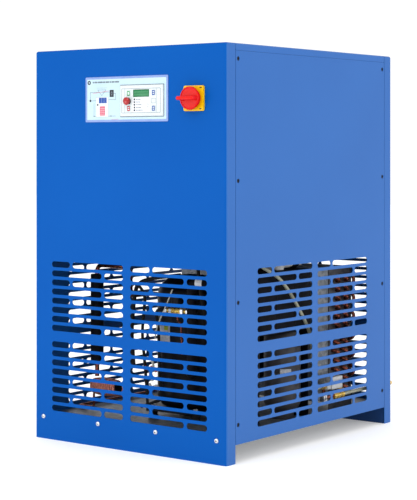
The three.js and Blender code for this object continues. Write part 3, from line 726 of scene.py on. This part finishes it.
def controller():
    """The white bezel with its lamps, display, keys and red stop button."""
    low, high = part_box("controller_housing")
    u0, u1, v0, v1 = span("controller_housing")
    face = (-low[1] - FACE) / MM
    openings = []
    gap = 0.3
    for node in ("display_window", "start_key", "stop_key", "up_key", "down_key"):
        k0, k1, h0, h1 = span(node)
        openings.append(rounded_loop(k0 - gap, k1 + gap, h0 - gap, h1 + gap, 1))
    button_low, button_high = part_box("stop_button")
    cu = (button_low[0] + button_high[0]) / 2 / MM
    cv = (button_low[2] + button_high[2]) / 2 / MM
    openings.append(arc_loop(cu, cv, 5.6, 20))
    scaled = [in_mm(loop) for loop in openings]
    bm = bmesh.new()
    steps = ((0.0, 0.3, face - 1.0), (0.5, face - 1.0, face - 0.35), (1.1, face - 0.35, face))
    for inset, w0, w1 in steps:
        loop = rounded_loop(u0 + inset, u1 - inset, v0 + inset, v1 - inset, 2)
        merge(bm, filled(in_mm(loop), scaled, w0 * MM, w1 * MM), FRONT_MATRIX)
    merge(bm, tidy_box(mm(u0 + 4, -FACE / MM + 2.5, v0 + 4), mm(u1 - 4, high[1] / MM, v1 - 4), 1 * MM))
    place("controller_bezel", bm, "white_plastic", replaces=["controller_housing"])

    inner = rounded_loop(-13.2, 117.7, 877.9, 941.5, 2.5)
    cut = rounded_loop(-12.2, 116.7, 878.9, 940.5, 2.2)
    print_plate("controller_frame_line", [inner], face + 0.06, "print_grey",
                holes=[cut], thick=0.05)
    panel = [rounded_loop(24, 81.5, 877.9 + 1.5, 917.5, 1.5)]
    print_plate("controller_lamp_field", panel, face + 0.05, "label_card", thick=0.04)
    side_lines = [strip(104.5, 940, 104.5, 879.5, 0.7), strip(-2.5, 940, -2.5, 879.5, 0.7)]
    print_plate("controller_side_lines", side_lines, face + 0.05, "print_grey", thick=0.04)
    grid = [strip(88, 914, 101.5, 914, 0.7), strip(88, 903, 101.5, 903, 0.7), strip(88, 914, 88, 903, 0.7),
            strip(101.5, 914, 101.5, 903, 0.7)]
    print_plate("controller_small_box", grid, face + 0.05, "print_grey", thick=0.04)

    lamps = bmesh.new()
    captions = []
    for i in range(5):
        v = 913 - 7 * i
        spot = FRONT_MATRIX @ Matrix.Translation(mm(30.6, v, face))
        merge(lamps, turned(in_mm([(0, -0.5), (2.4, -0.5), (2.4, 0.2), (1.8, 0.5), (0, 0.6)]), 16), spot)
        captions += dashes(36, 51 - (i % 2) * 3 + i * 2, v, 1.9, (5, 3, 7), 0.8)
    place("controller_lamps", lamps, "print_dark")
    print_plate("controller_caption_bars", captions, face + 0.09, "print_grey", thick=0.05)
    small = [arc_loop(76, 900, 1.2, 12), arc_loop(76, 893, 1.2, 12)]
    print_plate("controller_small_dots", small, face + 0.09, "print_dark", thick=0.05)

    glass_low, glass_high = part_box("display_window")
    glass = tidy_box(Vector(glass_low), Vector(glass_high), 0.3 * MM)
    place("display_glass", glass, "display", replaces=["display_window"])
    cells = []
    g0, g1 = glass_low[0] / MM + 3, glass_high[0] / MM - 3
    wide = (g1 - g0) / 16
    for row in range(2):
        v = (glass_low[2] / MM) + 3.2 + row * 6.9
        for column in range(16):
            u = g0 + column * wide
            cells.append(rounded_loop(u + 0.3, u + wide - 0.3, v, v + 5.4, 0.2, 1))
    glass_w = (-glass_low[1] - FACE) / MM
    print_plate("display_cells", cells, glass_w + 0.03, "display_cells", thick=0.05)

    keys = (("start_key", "start_push", "print_green", "green_key"),
            ("stop_key", "stop_key_push", "print_red", "red_key"),
            ("up_key", "up_push", "print_blue", "blue_keys"),
            ("down_key", "down_push", "print_blue", "blue_keys"))
    for node, body, print_name, slot in keys:
        a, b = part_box(node)
        cap = tidy_box(Vector(a), Vector(b), 0.5 * MM)
        place(f"{node}_cap", cap, "white_plastic", body, replaces=[node])
        k0, k1, h0, h1 = span(node)
        w = (-a[1] - FACE) / MM + 0.08
        ku, kv = (k0 + k1) / 2, (h0 + h1) / 2
        ring = rounded_loop(ku - 4.9, ku + 4.9, kv - 6.2, kv + 6.2, 2.2)
        hole = rounded_loop(ku - 2.6, ku + 2.6, kv - 3.9, kv + 3.9, 1.3)
        print_plate(f"{node}_ring", [ring], w, print_name, body, holes=[hole], thick=0.12)
        if node != "start_key":
            print_plate(f"{node}_bar", [strip(ku - 2, kv, ku + 2, kv, 2.1)], w, print_name, body)

    top = (-button_low[1] - FACE) / MM
    profile = [(0, top), (4, top - 0.15), (7.4, top - 0.9), (9.5, top - 2.4), (10.2, top - 4.4),
               (10.2, top - 6.4), (9.6, top - 7.4), (5, top - 7.5), (5, top - 22), (0, top - 22)]
    cap = turned(in_mm(profile), 40, FRONT_MATRIX @ Matrix.Translation(mm(cu, cv, 0)))
    place("stop_button_cap", cap, "stop_button", "stop_push", replaces=["stop_button"])
    collar = [(5.7, 0), (8.4, 0), (8.4, 0.7), (7.9, 1.1), (5.7, 1.1)]
    ring = ring_turned(in_mm(collar), 32, FRONT_MATRIX @ Matrix.Translation(mm(cu, cv, face)))
    place("stop_button_collar", ring, "rubber")


def main_switch():
    """The yellow plate and the red rotary handle with its grip."""
    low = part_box("main_switch_plate")[0]
    u0, u1, v0, v1 = span("main_switch_plate")
    cu, cv = (u0 + u1) / 2, (v0 + v1) / 2
    bm = bmesh.new()
    hole = in_mm(arc_loop(cu, cv, 9, 28))
    top = -low[1] / MM - FACE / MM
    steps = ((0, 0.3, top - 1.7, 5), (0.5, top - 1.7, top - 0.7, 4.6), (1.4, top - 0.7, top, 4))
    for inset, w0, w1, corner in steps:
        loop = rounded_loop(u0 + inset, u1 - inset, v0 + inset, v1 - inset, corner)
        merge(bm, filled(in_mm(loop), [hole], w0 * MM, w1 * MM), FRONT_MATRIX)
    place("switch_plate_shell", bm, "switch_plate", replaces=["main_switch_plate"])
    marks = [rounded_loop(u1 - 12, u1 - 4.5, v1 - 6.5, v1 - 4, 0.6),
             rounded_loop(u1 - 13, u1 - 5.5, v0 + 4, v0 + 6.5, 0.6),
             rounded_loop(u0 + 3, u0 + 5, v1 - 7, v1 - 5, 0.6)]
    print_plate("switch_plate_marks", marks, top + 0.04, "print_dark", thick=0.1)

    spot = FRONT_MATRIX @ Matrix.Translation(mm(cu, cv, 0))
    disc = 29.5
    profile = [(0, -34), (6, -34), (6, 7), (24, 7), (24, 17.4), (disc - 1, 17.6), (disc, 18.6), (disc, 22.6),
               (disc - 0.9, 24.1), (disc - 2.2, 24.9), (disc - 3.6, 24.6), (disc - 4.4, 23.4), (0, 23.2)]
    knob = merge(bmesh.new(), turned(in_mm(profile), 56), spot)
    grip_top = -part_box("main_switch_handle")[0][1] / MM - FACE / MM
    levels = ((23, 6.2, 28.0), (26, 5.4, 27.6), (33, 4.9, 27.0), (grip_top - 3.2, 4.7, 26.4),
              (grip_top - 1.0, 4.0, 25.4), (grip_top, 2.8, 24))
    rings = []
    for w, half_v, half_u in levels:
        loop = rounded_loop(-half_u, half_u, -half_v, half_v, min(half_v * 0.9, 3), 4)
        rings.append([knob.verts.new(spot @ mm(u, v, w)) for u, v in loop])
    for first, second in zip(rings, rings[1:]):
        for i in range(len(first)):
            j = (i + 1) % len(first)
            knob.faces.new((first[i], first[j], second[j], second[i]))
    knob.faces.new(rings[0])
    knob.faces.new(rings[-1])
    place("switch_handle_knob", knob, "switch_handle", "main_switch",
          replaces=["main_switch_handle"])
    # Painted shade: the grip's eye is not cut; a dark rod in the dark print look stands in for the shade in
    # the hole.
    eye = rod(2.4, 9.9, 20, Matrix.Translation(mm(cu - 13, -FACE / MM - grip_top + 9, cv - 4.95)))
    place("switch_handle_eye_shade", eye, "print_dark", "main_switch")


# ---- Refrigeration set ------------------------------------------------------------------------

def compressor():
    """The black shell with its labels, rubber mounts, nuts and terminal box."""
    low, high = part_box("compressor_shell")
    x, y = (low[0] + high[0]) / 2, (low[1] + high[1]) / 2
    z0, z1 = low[2] / MM, high[2] / MM
    r = (high[0] - low[0]) / 2 / MM
    wall = r - 1.5
    profile = [(0, z0), (r * 0.65, z0), (r * 0.84, z0 + 6), (r * 0.93, z0 + 16), (wall - 0.5, z0 + 30),
               (wall, z0 + 44), (wall, 248), (r, 249.5), (r, 254.5), (wall, 256), (wall, z1 - 62),
               (r - 3, z1 - 48), (r - 7, z1 - 34), (r - 16, z1 - 21), (r - 30, z1 - 11), (r - 50, z1 - 4),
               (r - 70, z1 - 1), (0, z1)]
    shell = turned(in_mm(profile), 64, Matrix.Translation((x, y, 0)))
    place("compressor_body", shell, "black_paint", replaces=["compressor_shell"], smooth=50)
    labels = (("compressor_label", 320, 266, -140, -90, 0.3, "label_bright"),
              ("compressor_label_patch", 316, 302, -104, -94, 0.5, "tag_green"))
    for name, top, bottom, a0, a1, lift, chosen in labels:
        bm = bmesh.new()
        reach = (wall + lift) * MM
        columns = []
        for i in range(9):
            a = radians(a0 + (a1 - a0) * i / 8)
            spot = Vector((x + reach * cos(a), y + reach * sin(a), 0))
            columns.append([bm.verts.new(spot + mm(0, 0, bottom)), bm.verts.new(spot + mm(0, 0, top))])
        for first, second in zip(columns, columns[1:]):
            bm.faces.new((first[0], second[0], second[1], first[1]))
        bmesh.ops.solidify(bm, geom=bm.faces[:], thickness=0.2 * MM)
        place(name, bm, chosen)
    base_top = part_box("compressor_base")[1][2]
    bolts = bmesh.new()
    for index in range(1, 5):
        node = f"compressor_grommet_{index}"
        a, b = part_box(node)
        centre = Vector(((a[0] + b[0]) / 2, (a[1] + b[1]) / 2, a[2]))
        tall = (b[2] - a[2]) / MM
        waist = [(0, 0), (13.2, 0), (14, 2), (13.6, 6), (10.5, tall / 2), (13.2, tall - 6),
                 (13.6, tall - 2), (12.8, tall), (0, tall)]
        bm = turned(in_mm(waist), 28, Matrix.Translation(centre))
        place(f"compressor_mount_{index}", bm, "rubber", replaces=[node])
        washer = [(0, 0), (10, 0), (10, 1.6), (6.5, 1.6), (6.5, 7), (0, 7)]
        spot = Matrix.Translation((centre.x, centre.y, base_top))
        merge(bolts, turned(in_mm(washer), 6), spot)
    place("compressor_nuts", bolts, "screws")
    a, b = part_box("compressor_terminal_cover")
    place("compressor_terminal_box", tidy_box(Vector(a), Vector(b), 4 * MM, 3), "black_paint",
          replaces=["compressor_terminal_cover"])


def return_bend(start, end, out, share):
    """A half turn of tube between two tube ends, which bulges by a share of its half width."""
    middle = (start + end) / 2
    half = (end - start) / 2
    route = [start]
    for i in range(9):
        angle = pi * i / 8
        reach = out * (4 * MM + half.length * share * sin(angle))
        route.append(middle - half * cos(angle) + Vector((reach, 0, 0)))
    return swept([*route, end], 4.9 * MM, 10)


def tube_height(top, column, row):
    """The height of a condenser tube: every second column stands half a step lower."""
    shift = TUBE_STEP / 2 if column % 2 else 0
    return top - TUBE_TOP - shift - row * TUBE_STEP


def condenser():
    """The condenser's fins, tubes and return bends, and the fan before it."""
    low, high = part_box("condenser_core")
    bm = bmesh.new()
    count = round((high[0] - low[0]) / FIN_PITCH)
    pitch = (high[0] - low[0]) / count
    for i in range(count):
        x = low[0] + (i + 0.5) * pitch
        merge_box(bm, (x - FIN_HALF, low[1], low[2]), (x + FIN_HALF, high[1], high[2]))
    place("condenser_fins", bm, "fins", replaces=["condenser_core"], smooth=0)

    columns = [low[1] + 14 * MM + 21.5 * MM * i for i in range(5)]
    tubes = bmesh.new()
    bends = bmesh.new()
    left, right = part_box("condenser_left_sheet"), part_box("condenser_right_sheet")
    for column, y in enumerate(columns):
        for row in range(TUBE_ROWS):
            z = tube_height(high[2], column, row)
            points = [Vector((left[0][0] - 3 * MM, y, z)), Vector((right[1][0] + 3 * MM, y, z))]
            merge(tubes, swept(points, 4.8 * MM, 10))
    for x, out in ((right[1][0] + 0.5 * MM, 1), (left[0][0] - 0.5 * MM, -1)):
        for column in range(0 if out > 0 else 1, 4, 2):
            for row in range(TUBE_ROWS):
                z = tube_height(high[2], column, row)
                other = z - (TUBE_STEP / 2 if column % 2 == 0 else -TUBE_STEP / 2)
                start, end = Vector((x, columns[column], z)), Vector((x, columns[column + 1], other))
                merge(bends, return_bend(start, end, out, 0.85))
        last = 4 if out > 0 else 0
        for row in range(0, TUBE_ROWS - 1, 2):
            z = tube_height(high[2], last, row)
            start, end = Vector((x, columns[last], z)), Vector((x, columns[last], z - TUBE_STEP))
            merge(bends, return_bend(start, end, out, 1))
    place("condenser_tubes", tubes, "old_copper")
    place("condenser_bends", bends, "old_copper")
    fan()


def fan():
    """The fan's motor with its ribbed case, and the impeller that turns before it."""
    motor_low, motor_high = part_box("fan_motor")
    x, z = (motor_low[0] + motor_high[0]) / 2, (motor_low[2] + motor_high[2]) / 2
    bore = 6
    profile = [(0, 0), (14, 0), (16, 3), (34, 6), (39, 10), (41, 14)]
    for i in range(5):
        h = 16 + i * 7
        profile += [(41, h), (42, h + 1), (42, h + 4), (40.5, h + 5)]
    length = (motor_high[1] - motor_low[1]) / MM
    profile += [(41, length - 6), (36, length), (bore, length), (bore, length - 22), (0, length - 22)]
    bm = turned(in_mm(profile), 40, along((x, motor_low[1], z), (0, 1, 0)))
    place("fan_motor_case", bm, "black_paint", replaces=["fan_motor"])

    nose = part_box("fan_rotor")[0][1] / MM
    middle = 112 * MM
    hub = [(0, nose), (5, nose), (5, 100), (34, 100), (36, 102), (36, 122), (30, 126), (0, 126)]
    bm = turned(in_mm(hub), 40, along((x, 0, z), (0, 1, 0)))
    for k in range(FAN_BLADES):
        turn = Matrix.Translation((x, middle, z)) @ Matrix.Rotation(2 * pi * k / FAN_BLADES, 4, "Y")
        grid = []
        for i in range(9):
            t = i / 8
            radius = (34 + 115 * t) * MM
            chord = (26 + 13 * sin(pi * min(t * 0.75 + 0.1, 1))) * MM
            pitch = radians(30 - 10 * t)
            row = []
            for j in range(9):
                s = j / 8 * 2 - 1
                across = chord * s
                camber = 5 * MM * (1 - s * s)
                rise = across * sin(pitch) * 0.85 + camber * 0.6
                row.append(Vector((radius, rise, across * cos(pitch) + 10 * MM * t * t)))
            grid.append(row)
        blade = bmesh.new()
        verts = [[blade.verts.new(p) for p in row] for row in grid]
        for i in range(8):
            for j in range(8):
                blade.faces.new((verts[i][j], verts[i + 1][j], verts[i + 1][j + 1], verts[i][j + 1]))
        bmesh.ops.solidify(blade, geom=blade.faces[:], thickness=1.6 * MM)
        merge(bm, blade, turn)
    place("fan_impeller", bm, "black_paint", "fan", replaces=["fan_rotor"], smooth=40)


def air_side():
    """The wrapped heat exchanger, the separator and the two air pipes."""
    low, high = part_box("heat_exchanger")
    block = tidy_box(Vector(low), Vector(high), 9 * MM, 4)
    place("exchanger_foam", block, "foam", replaces=["heat_exchanger"])
    seams = bmesh.new()
    for share in (0.34, 0.67):
        y = low[1] + (high[1] - low[1]) * share
        loop = [Vector((low[0], y, low[2])), Vector((high[0], y, low[2])), Vector((high[0], y, high[2])),
                Vector((low[0], y, high[2]))]
        centre = sum(loop, Vector()) / 4
        ring = [centre + (p - centre) * 0.998 for p in loop]
        merge(seams, swept(filleted([ring[0], ring[1], ring[2], ring[3], ring[0]], 9 * MM), 1.2 * MM, 8))
    place("exchanger_tape", seams, "rubber")
    low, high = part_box("moisture_separator")
    x, y = (low[0] + high[0]) / 2, (low[1] + high[1]) / 2
    z0, z1 = low[2] / MM, high[2] / MM
    profile = [(0, z0), (30, z0), (31, z0 + 2), (31, z0 + 22), (38, z0 + 26), (45, z0 + 33), (50, z0 + 44),
               (50, 180), (50, 181), (49.2, 183), (50, 185), (50, z1 - 18), (46, z1 - 8), (40, z1 - 2),
               (0, z1)]
    shell = turned(in_mm(profile), 56, Matrix.Translation((x, y, 0)))
    place("separator_shell", shell, "dark_steel", replaces=["moisture_separator"])
    tag = bmesh.new()
    columns = []
    for i in range(6):
        a = radians(-62 + 35 * i / 5)
        px, py = x + 50.2 * MM * cos(a), y + 50.2 * MM * sin(a)
        columns.append([tag.verts.new((px, py, h * MM)) for h in (181, 198)])
    for first, second in zip(columns, columns[1:]):
        tag.faces.new((first[0], second[0], second[1], first[1]))
    bmesh.ops.solidify(tag, geom=tag.faces[:], thickness=0.2 * MM)
    place("separator_tag", tag, "label_bright")

    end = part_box("air_inlet_pipe")[1][1]
    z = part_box("air_inlet_pipe")[1][2] - PIPE_RADIUS
    in_route = [mm(250, -100, HEADER_Z), mm(250, 50, HEADER_Z), mm(250, 50, 620)]
    out_route = [mm(160, -24, 464), mm(160, -24, 620)]
    for name, node, route, bend_size in (("air_inlet_tube", "air_inlet_pipe", in_route, 45),
                                         ("air_outlet_tube", "air_outlet_pipe", out_route, 60)):
        px = route[0].x
        stop = end - 81 * MM
        corners = [*route, Vector((px, stop, z))]
        bm = swept(filleted(corners, bend_size * MM, 10), 23.6 * MM, 36)
        port = [(19, -81), (23.6, -81), (23.6, -30), (24, -29), (24, -1), (23.2, 0), (19.6, 0), (19, -1)]
        merge(bm, ring_turned(in_mm(port), 40, along((px, end, z), (0, 1, 0))))
        if name == "air_inlet_tube":
            merge(bm, rod(18, HEADER_Z - 463, 28, Matrix.Translation(mm(250, -70, 463))))
        place(name, bm, "air_pipes", replaces=[node])
        nut = [(24.1, -42), (26.6, -42), (26.9, -40), (26.9, -24), (26.6, -22), (24.1, -22)]
        collar = ring_turned(in_mm(nut), 6, along((px, end, z), (0, 1, 0)))
        place(f"{name}_nut", collar, "brass", smooth=0)
        grommet = [(24.3, 0), (30.5, 0), (30.5, 1.2), (29, 2.6), (26, 2.6), (24.3, 1.2)]
        lip = ring_turned(in_mm(grommet), 40, along((px, FACE, z), (0, 1, 0)))
        place(f"{name}_grommet", lip, "rubber")
    band = ring_turned(in_mm([(24, -14), (25.2, -14), (25.2, 14), (24, 14)]), 40,
                       along(mm(250, -8, HEADER_Z), (0, 1, 0)))
    place("air_inlet_band", band, "rubber")


def drain_line():
    """The solenoid, ball valve, outlet and hoses that carry the condensate away."""
    low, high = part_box("drain_solenoid")
    x = (low[0] + high[0]) / 2 / MM
    line_z = 140
    coil_y0 = low[1] / MM + 38
    bm = tidy_box(mm(x - 12, coil_y0, low[2] / MM), mm(x + 12, high[1] / MM, high[2] / MM), 2.5 * MM, 3)
    merge(bm, tidy_box(mm(x - 9, coil_y0 - 18, line_z - 10),
                       mm(x + 9, coil_y0 - 0.3, line_z + 10), 2 * MM, 2))
    place("drain_coil", bm, "grey_plastic", replaces=["drain_solenoid"])
    ridge = tidy_box(mm(x - 12.3, coil_y0 + 10, line_z + 2),
                     mm(x + 12.3, high[1] / MM - 10, line_z + 5), 0.8 * MM)
    place("drain_coil_band", ridge, "screws")
    fittings = bmesh.new()
    for y0, y1, radius, sides in ((-37.6, -30, 7.6, 6), (-30, -26, 5.6, 20), (-26, -18.4, 8.4, 6)):
        merge(fittings, rod(radius, y1 - y0, sides, along(mm(x, coil_y0 + y0, line_z), (0, 1, 0))))
    place("drain_line_fittings", fittings, "brass", smooth=30)
    valve_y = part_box("drain_valve")[0][1] / MM
    corners = [mm(x, coil_y0 - 24, 131), mm(x, coil_y0 - 24, 108), mm(x, valve_y - 0.4, 108)]
    stub = swept(filleted(corners, 9 * MM), 4.6 * MM, 14)
    elbow = tidy_box(mm(x - 7, coil_y0 - 32, 99), mm(x + 7, coil_y0 - 16, 118), 2 * MM, 2)
    place("drain_elbow_block", elbow, "screws")
    place("drain_line_elbow", stub, "copper")

    a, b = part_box("drain_valve")
    y0, y1 = a[1] / MM, b[1] / MM
    z = 108
    profile = [(0, 0), (8.6, 0), (10, 1), (10, 10), (7.6, 11.5), (7.6, 14), (10, 19), (10, 33),
               (7.6, 37), (7.6, 39), (10, 40.5), (10, 49), (8.6, 50), (0, 50)]
    bm = turned(in_mm(profile), 28, along(mm(x, y0, z), (0, 1, 0)))
    stem = [(0, 0), (5.5, 0), (5.5, 11), (4, 12), (0, 12)]
    merge(bm, turned(in_mm(stem), 20, Matrix.Translation(mm(x, y0 + 38, z))))
    place("drain_valve_body", bm, "brass", replaces=["drain_valve"])
    a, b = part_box("drain_valve_handle")
    wing = bmesh.new()
    middle = (Vector(a) + Vector(b)) / 2
    hub = [(0, a[2]), (3.9 * MM, a[2]), (3.9 * MM, b[2] - 0.5 * MM), (3.4 * MM, b[2]), (0, b[2])]
    merge(wing, turned(hub, 24), Matrix.Translation((middle.x, middle.y, 0)))
    merge(wing, tidy_box((a[0], middle.y - 2.6 * MM, a[2] + 0.4 * MM),
                         (b[0], middle.y + 2.6 * MM, b[2] - 0.8 * MM), 1.2 * MM, 3))
    place("drain_handle_wing", wing, "handle_yellow", "drain_lever",
          replaces=["drain_valve_handle"])

    a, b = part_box("drain_hose")
    route = [Vector((x * MM, a[1] + (b[1] - a[1]) * i / 12, z * MM)) for i in range(13)]
    place("drain_tube", swept(route, 4.9 * MM, 18), "hose", replaces=["drain_hose"])
    a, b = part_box("drain_outlet")
    profile = [(3, -15), (7.5, -15), (7.5, 0.3), (12, 0.3), (12, 9.5), (11.4, 10), (8, 10), (7.6, 12),
               (5.6, 12.6), (7, 16), (5.6, 16.6), (7, 20), (5.6, 20.6), (7, 24), (5.4, 29.6), (5, 30), (3, 30)]
    bm = ring_turned(in_mm(profile), 24, along(mm(x, FACE / MM, z), (0, 1, 0)))
    place("drain_outlet_tail", bm, "brass", replaces=["drain_outlet"])

    points = [(250, -207, 440), (256, -240, 446), (286, -262, 486), (303, -242, 494), (303, -206, 478),
              (303, -136, 446), (303, -69, 387), (303, 5, 294), (303, 20, 215), (304, 28, 160),
              (305, 40, 140), (305, 57, 140)]
    cable("condensate_tube", points, 4.5, 18, "hose", ["condensate_hose"])


def refrigerant_lines():
    """The copper and rubber lines, the drier, the ribbed coil, the bypass valve and the wires."""
    tube("discharge_tube", [(-64, -160, 385), (-115, -160, 385), (-115, -245, 385), (-115, -245, 464),
         (-234, -245, 464), (-234, -245, 157)], 6, 20, "copper", ["discharge_pipe"])
    sleeve = [(6.2, 196), (16.5, 196), (18, 198), (18, 300), (17.5, 301), (18, 302), (18, 437),
              (16.5, 439), (6.2, 439)]
    bm = ring_turned(in_mm(sleeve), 28, Matrix.Translation(mm(-234, -245, 0)))
    place("discharge_sleeve", bm, "foam")
    tube("suction_tube", [(205, -206, 440), (205, -310, 440), (150, -310, 440), (150, -310, 200),
                          (87.2, -232.2, 200)], 13.6, 24, "foam", ["suction_pipe"], 22)

    tag = ring_turned(in_mm([(13.7, -11), (14, -11), (14, 11), (13.7, 11)]), 30,
                      along(mm(180, -310, 440), (1, 0, 0)))
    place("suction_tag", tag, "label_card")

    low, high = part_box("filter_drier")
    r, z0, z1 = (high[0] - low[0]) / 2 / MM, low[2] / MM, high[2] / MM
    profile = [(0, z0), (5, z0), (5.5, z0 + 6), (r * 0.7, z0 + 9), (r - 1, z0 + 13), (r, z0 + 20),
               (r, z1 - 20), (r - 1, z1 - 13), (r * 0.7, z1 - 9), (5.5, z1 - 6), (5, z1), (0, z1)]
    centre = ((low[0] + high[0]) / 2, (low[1] + high[1]) / 2, 0)
    shell = turned(in_mm(profile), 36, Matrix.Translation(centre))
    place("filter_drier_shell", shell, "old_copper", replaces=["filter_drier"])

    low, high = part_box("capillary_coil")
    cx, cy, cz = (low[0] + high[0]) / 2 / MM, (low[1] + high[1]) / 2, (low[2] + high[2]) / 2
    wind = (high[1] - low[1]) / 2 - 3.6 * MM
    steps = COIL_TURNS * STEPS_PER_TURN
    route = []
    for i in range(steps + 1):
        a = 2 * pi * i / STEPS_PER_TURN
        x = low[0] + 4 * MM + (high[0] - low[0] - 8 * MM) * i / steps
        barrel = wind * (0.78 + 0.22 * sin(pi * i / steps))
        route.append(Vector((x, cy + barrel * cos(a), cz + barrel * sin(a))))
    winding = swept(route, 3.4 * MM, 10)
    place("capillary_winding", winding, "ribbed_copper", replaces=["capillary_coil"])
    x0, x1 = low[0] / MM + 3, high[0] / MM - 3
    core = [(0, x0), (13, x0), (17, cx), (13, x1), (0, x1)]
    bm = turned(in_mm(core), 24, along((0, cy, cz), (1, 0, 0)))
    place("capillary_core", bm, "black_paint")

    low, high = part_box("hot_gas_valve")
    z = low[2] / MM + 11
    y = (low[1] + high[1]) / 2 / MM
    x0 = low[0] / MM
    body, nuts = bmesh.new(), bmesh.new()
    for a, b, radius, sides, group in ((0, 8, 8.5, 6, nuts), (8, 17, 5.5, 20, body), (17, 25, 11, 6, nuts),
                                       (25, 55, 10, 24, body), (55, 63, 11, 6, nuts), (63, 72, 5.5, 20, body),
                                       (72, 80, 8.5, 6, nuts)):
        merge(group, rod(radius, b - a, sides, along(mm(x0 + a, y, z), (1, 0, 0))))
    place("bypass_valve_body", body, "brass", replaces=["hot_gas_valve"], smooth=30)
    place("bypass_valve_nuts", nuts, "screws", smooth=30)
    cap = tidy_box(mm(x0 + 28, y - 13, z + 9), mm(x0 + 52, y + 13, z + 43), 3 * MM, 3)
    place("bypass_valve_coil", cap, "black_paint")

    tube("bypass_tube_left", [(x0, y, z), (18, y, z), (18, -285, 300), (22, -280, 120), (-60, -262, 92)],
         4.2, 14, "rubber")
    tube("pilot_tube", [(x0 + 40, y, z - 10), (x0 + 40, y, 336), (x0 + 60, -305, 330), (x0 + 60, -300, 250)],
         2.4, 9, "old_copper")
    tube("liquid_tube", [(-285, 150, 240), (-285, 150, 300), (-285, 206, 330), (-203.5, 206, 330)],
         4, 14, "copper")
    tube("coil_tail", [(-246, -245, 108), (-246, -245, 70), (-300, -245, 70), (-300, 150, 70),
                       (-285, 150, 82), (-285, 150, 119)], 3.2, 9, "copper")
    tube("pressure_line", [(-40, -318, 210), (-46, -320, 300), (-34, -322, 400), (-22, -322, 432),
                           (30, -322, 446), (118, -318, 458)], 5.2, 24, "rubber")
    tube("dark_line", [(12, -322, 96), (6, -322, 180), (-8, -322, 300), (4, -322, 404), (-20, -322, 424)],
         4.0, 24, "rubber")
    wire = [(98, -326, 420), (86, -328, 392), (70, -328, 362), (54, -326, 335), (40, -322, 308),
            (30, -314, 288)]
    cable("sensor_wire", wire, 1.7, 10, "wire_white")
    cords = (
        ("cord_white", "wire_white", (26, -324, 232), (34, -326, 215), (22, -326, 196), (30, -324, 176)),
        ("cord_red", "wire_red", (2, -322, 214), (14, -326, 206), (30, -324, 214), (40, -320, 200)),
        ("cord_grey", "grey_plastic", (18, -322, 168), (30, -326, 158), (44, -326, 166), (52, -320, 154)))
    for name, chosen, *points in cords:
        cable(name, points, 3.0, 10, chosen)
    loom = [(140, -160, 268), (160, -200, 262), (172, -260, 300), (178, -300, 380), (178, -320, 470),
            (178, -330, 556)]
    cable("compressor_loom", loom, 4.5, 12, "rubber")


def small_fittings():
    """The cable gland of the rear, with its round collar cut to a hexagon."""
    low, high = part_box("cable_gland")
    x, z = (low[0] + high[0]) / 2 / MM, (low[2] + high[2]) / 2 / MM
    profile = [(5, -15), (8, -15), (8, 0.3), (12, 0.3), (12, 6.5), (11.4, 7), (10.6, 7), (10.6, 9),
               (9, 15), (8, 16), (5, 16)]
    bm = ring_turned(in_mm(profile), 30, along(mm(x, FACE / MM, z), (0, 1, 0)))
    for vert in bm.verts:
        aside = Vector((vert.co.x - x * MM, vert.co.z - z * MM))
        if FACE + 0.2 * MM < vert.co.y < FACE + 7.2 * MM and aside.length > 9 * MM:
            angle = aside.angle_signed(Vector((1, 0)))
            scale = cos(pi / 6) / cos(angle % (pi / 3) - pi / 6)
            vert.co.x = x * MM + aside.x * scale
            vert.co.z = z * MM + aside.y * scale
    place("cable_gland_body", bm, "rubber", replaces=["cable_gland"])


# ---- Camera, floor and light --------------------------------------------------------------------

def stage():
    """The photo's camera, a white floor and room, and three soft lamps."""
    bpy.context.scene.view_settings.view_transform = "Standard"
    data = bpy.data.cameras.new("camera")
    data.lens = 112.15
    data.sensor_width = 36
    data.shift_y = -0.206
    data.clip_end = 60
    camera = bpy.data.objects.new("camera", data)
    camera.location = (2.630, -3.479, 0.790)
    camera.rotation_euler = (pi / 2, 0, radians(37.44))
    bpy.context.scene.collection.objects.link(camera)
    bpy.context.scene.camera = camera

    floor = bmesh.new()
    bmesh.ops.create_grid(floor, x_segments=2, y_segments=2, size=15)
    mesh = bpy.data.meshes.new("floor")
    floor.to_mesh(mesh)
    floor.free()
    paint = look("floor_paint", (0.93, 0.93, 0.93), (0.91, 0.91, 0.915), (0.7, 0.8), patch=0.5, grain=30,
                 depth=0.01, glow=0.22)
    mesh.materials.append(paint)
    ground = bpy.data.objects.new("floor", mesh)
    bpy.context.scene.collection.objects.link(ground)

    world = bpy.data.worlds.new("studio")
    world.use_nodes = True
    set_inputs(world.node_tree.nodes["Background"], {"Color": (1, 1, 1, 1), "Strength": 1.07})
    bpy.context.scene.world = world

    for name, spot, target, size, power in (("key", (0.6, -3.2, 3.0), (0, 0, 0.6), 2.4, 38),
                                            ("low_fill", (-1.3, -2.4, 0.5), (0, -0.3, 0.25), 1.2, 9),
                                            ("side_fill", (4.2, 0.4, 1.8), (0, 0, 0.6), 2.6, 45)):
        light = bpy.data.lights.new(name, "AREA")
        light.shape = "DISK"
        light.size = size
        light.energy = power
        lamp = bpy.data.objects.new(name, light)
        lamp.location = spot
        lamp.rotation_euler = (Vector(target) - Vector(spot)).to_track_quat("-Z", "Y").to_euler()
        bpy.context.scene.collection.objects.link(lamp)


stage()
dress_nodes()
cabinet()
screws()
fascia()
controller()
main_switch()
compressor()
condenser()
air_side()
drain_line()
refrigerant_lines()
small_fittings()
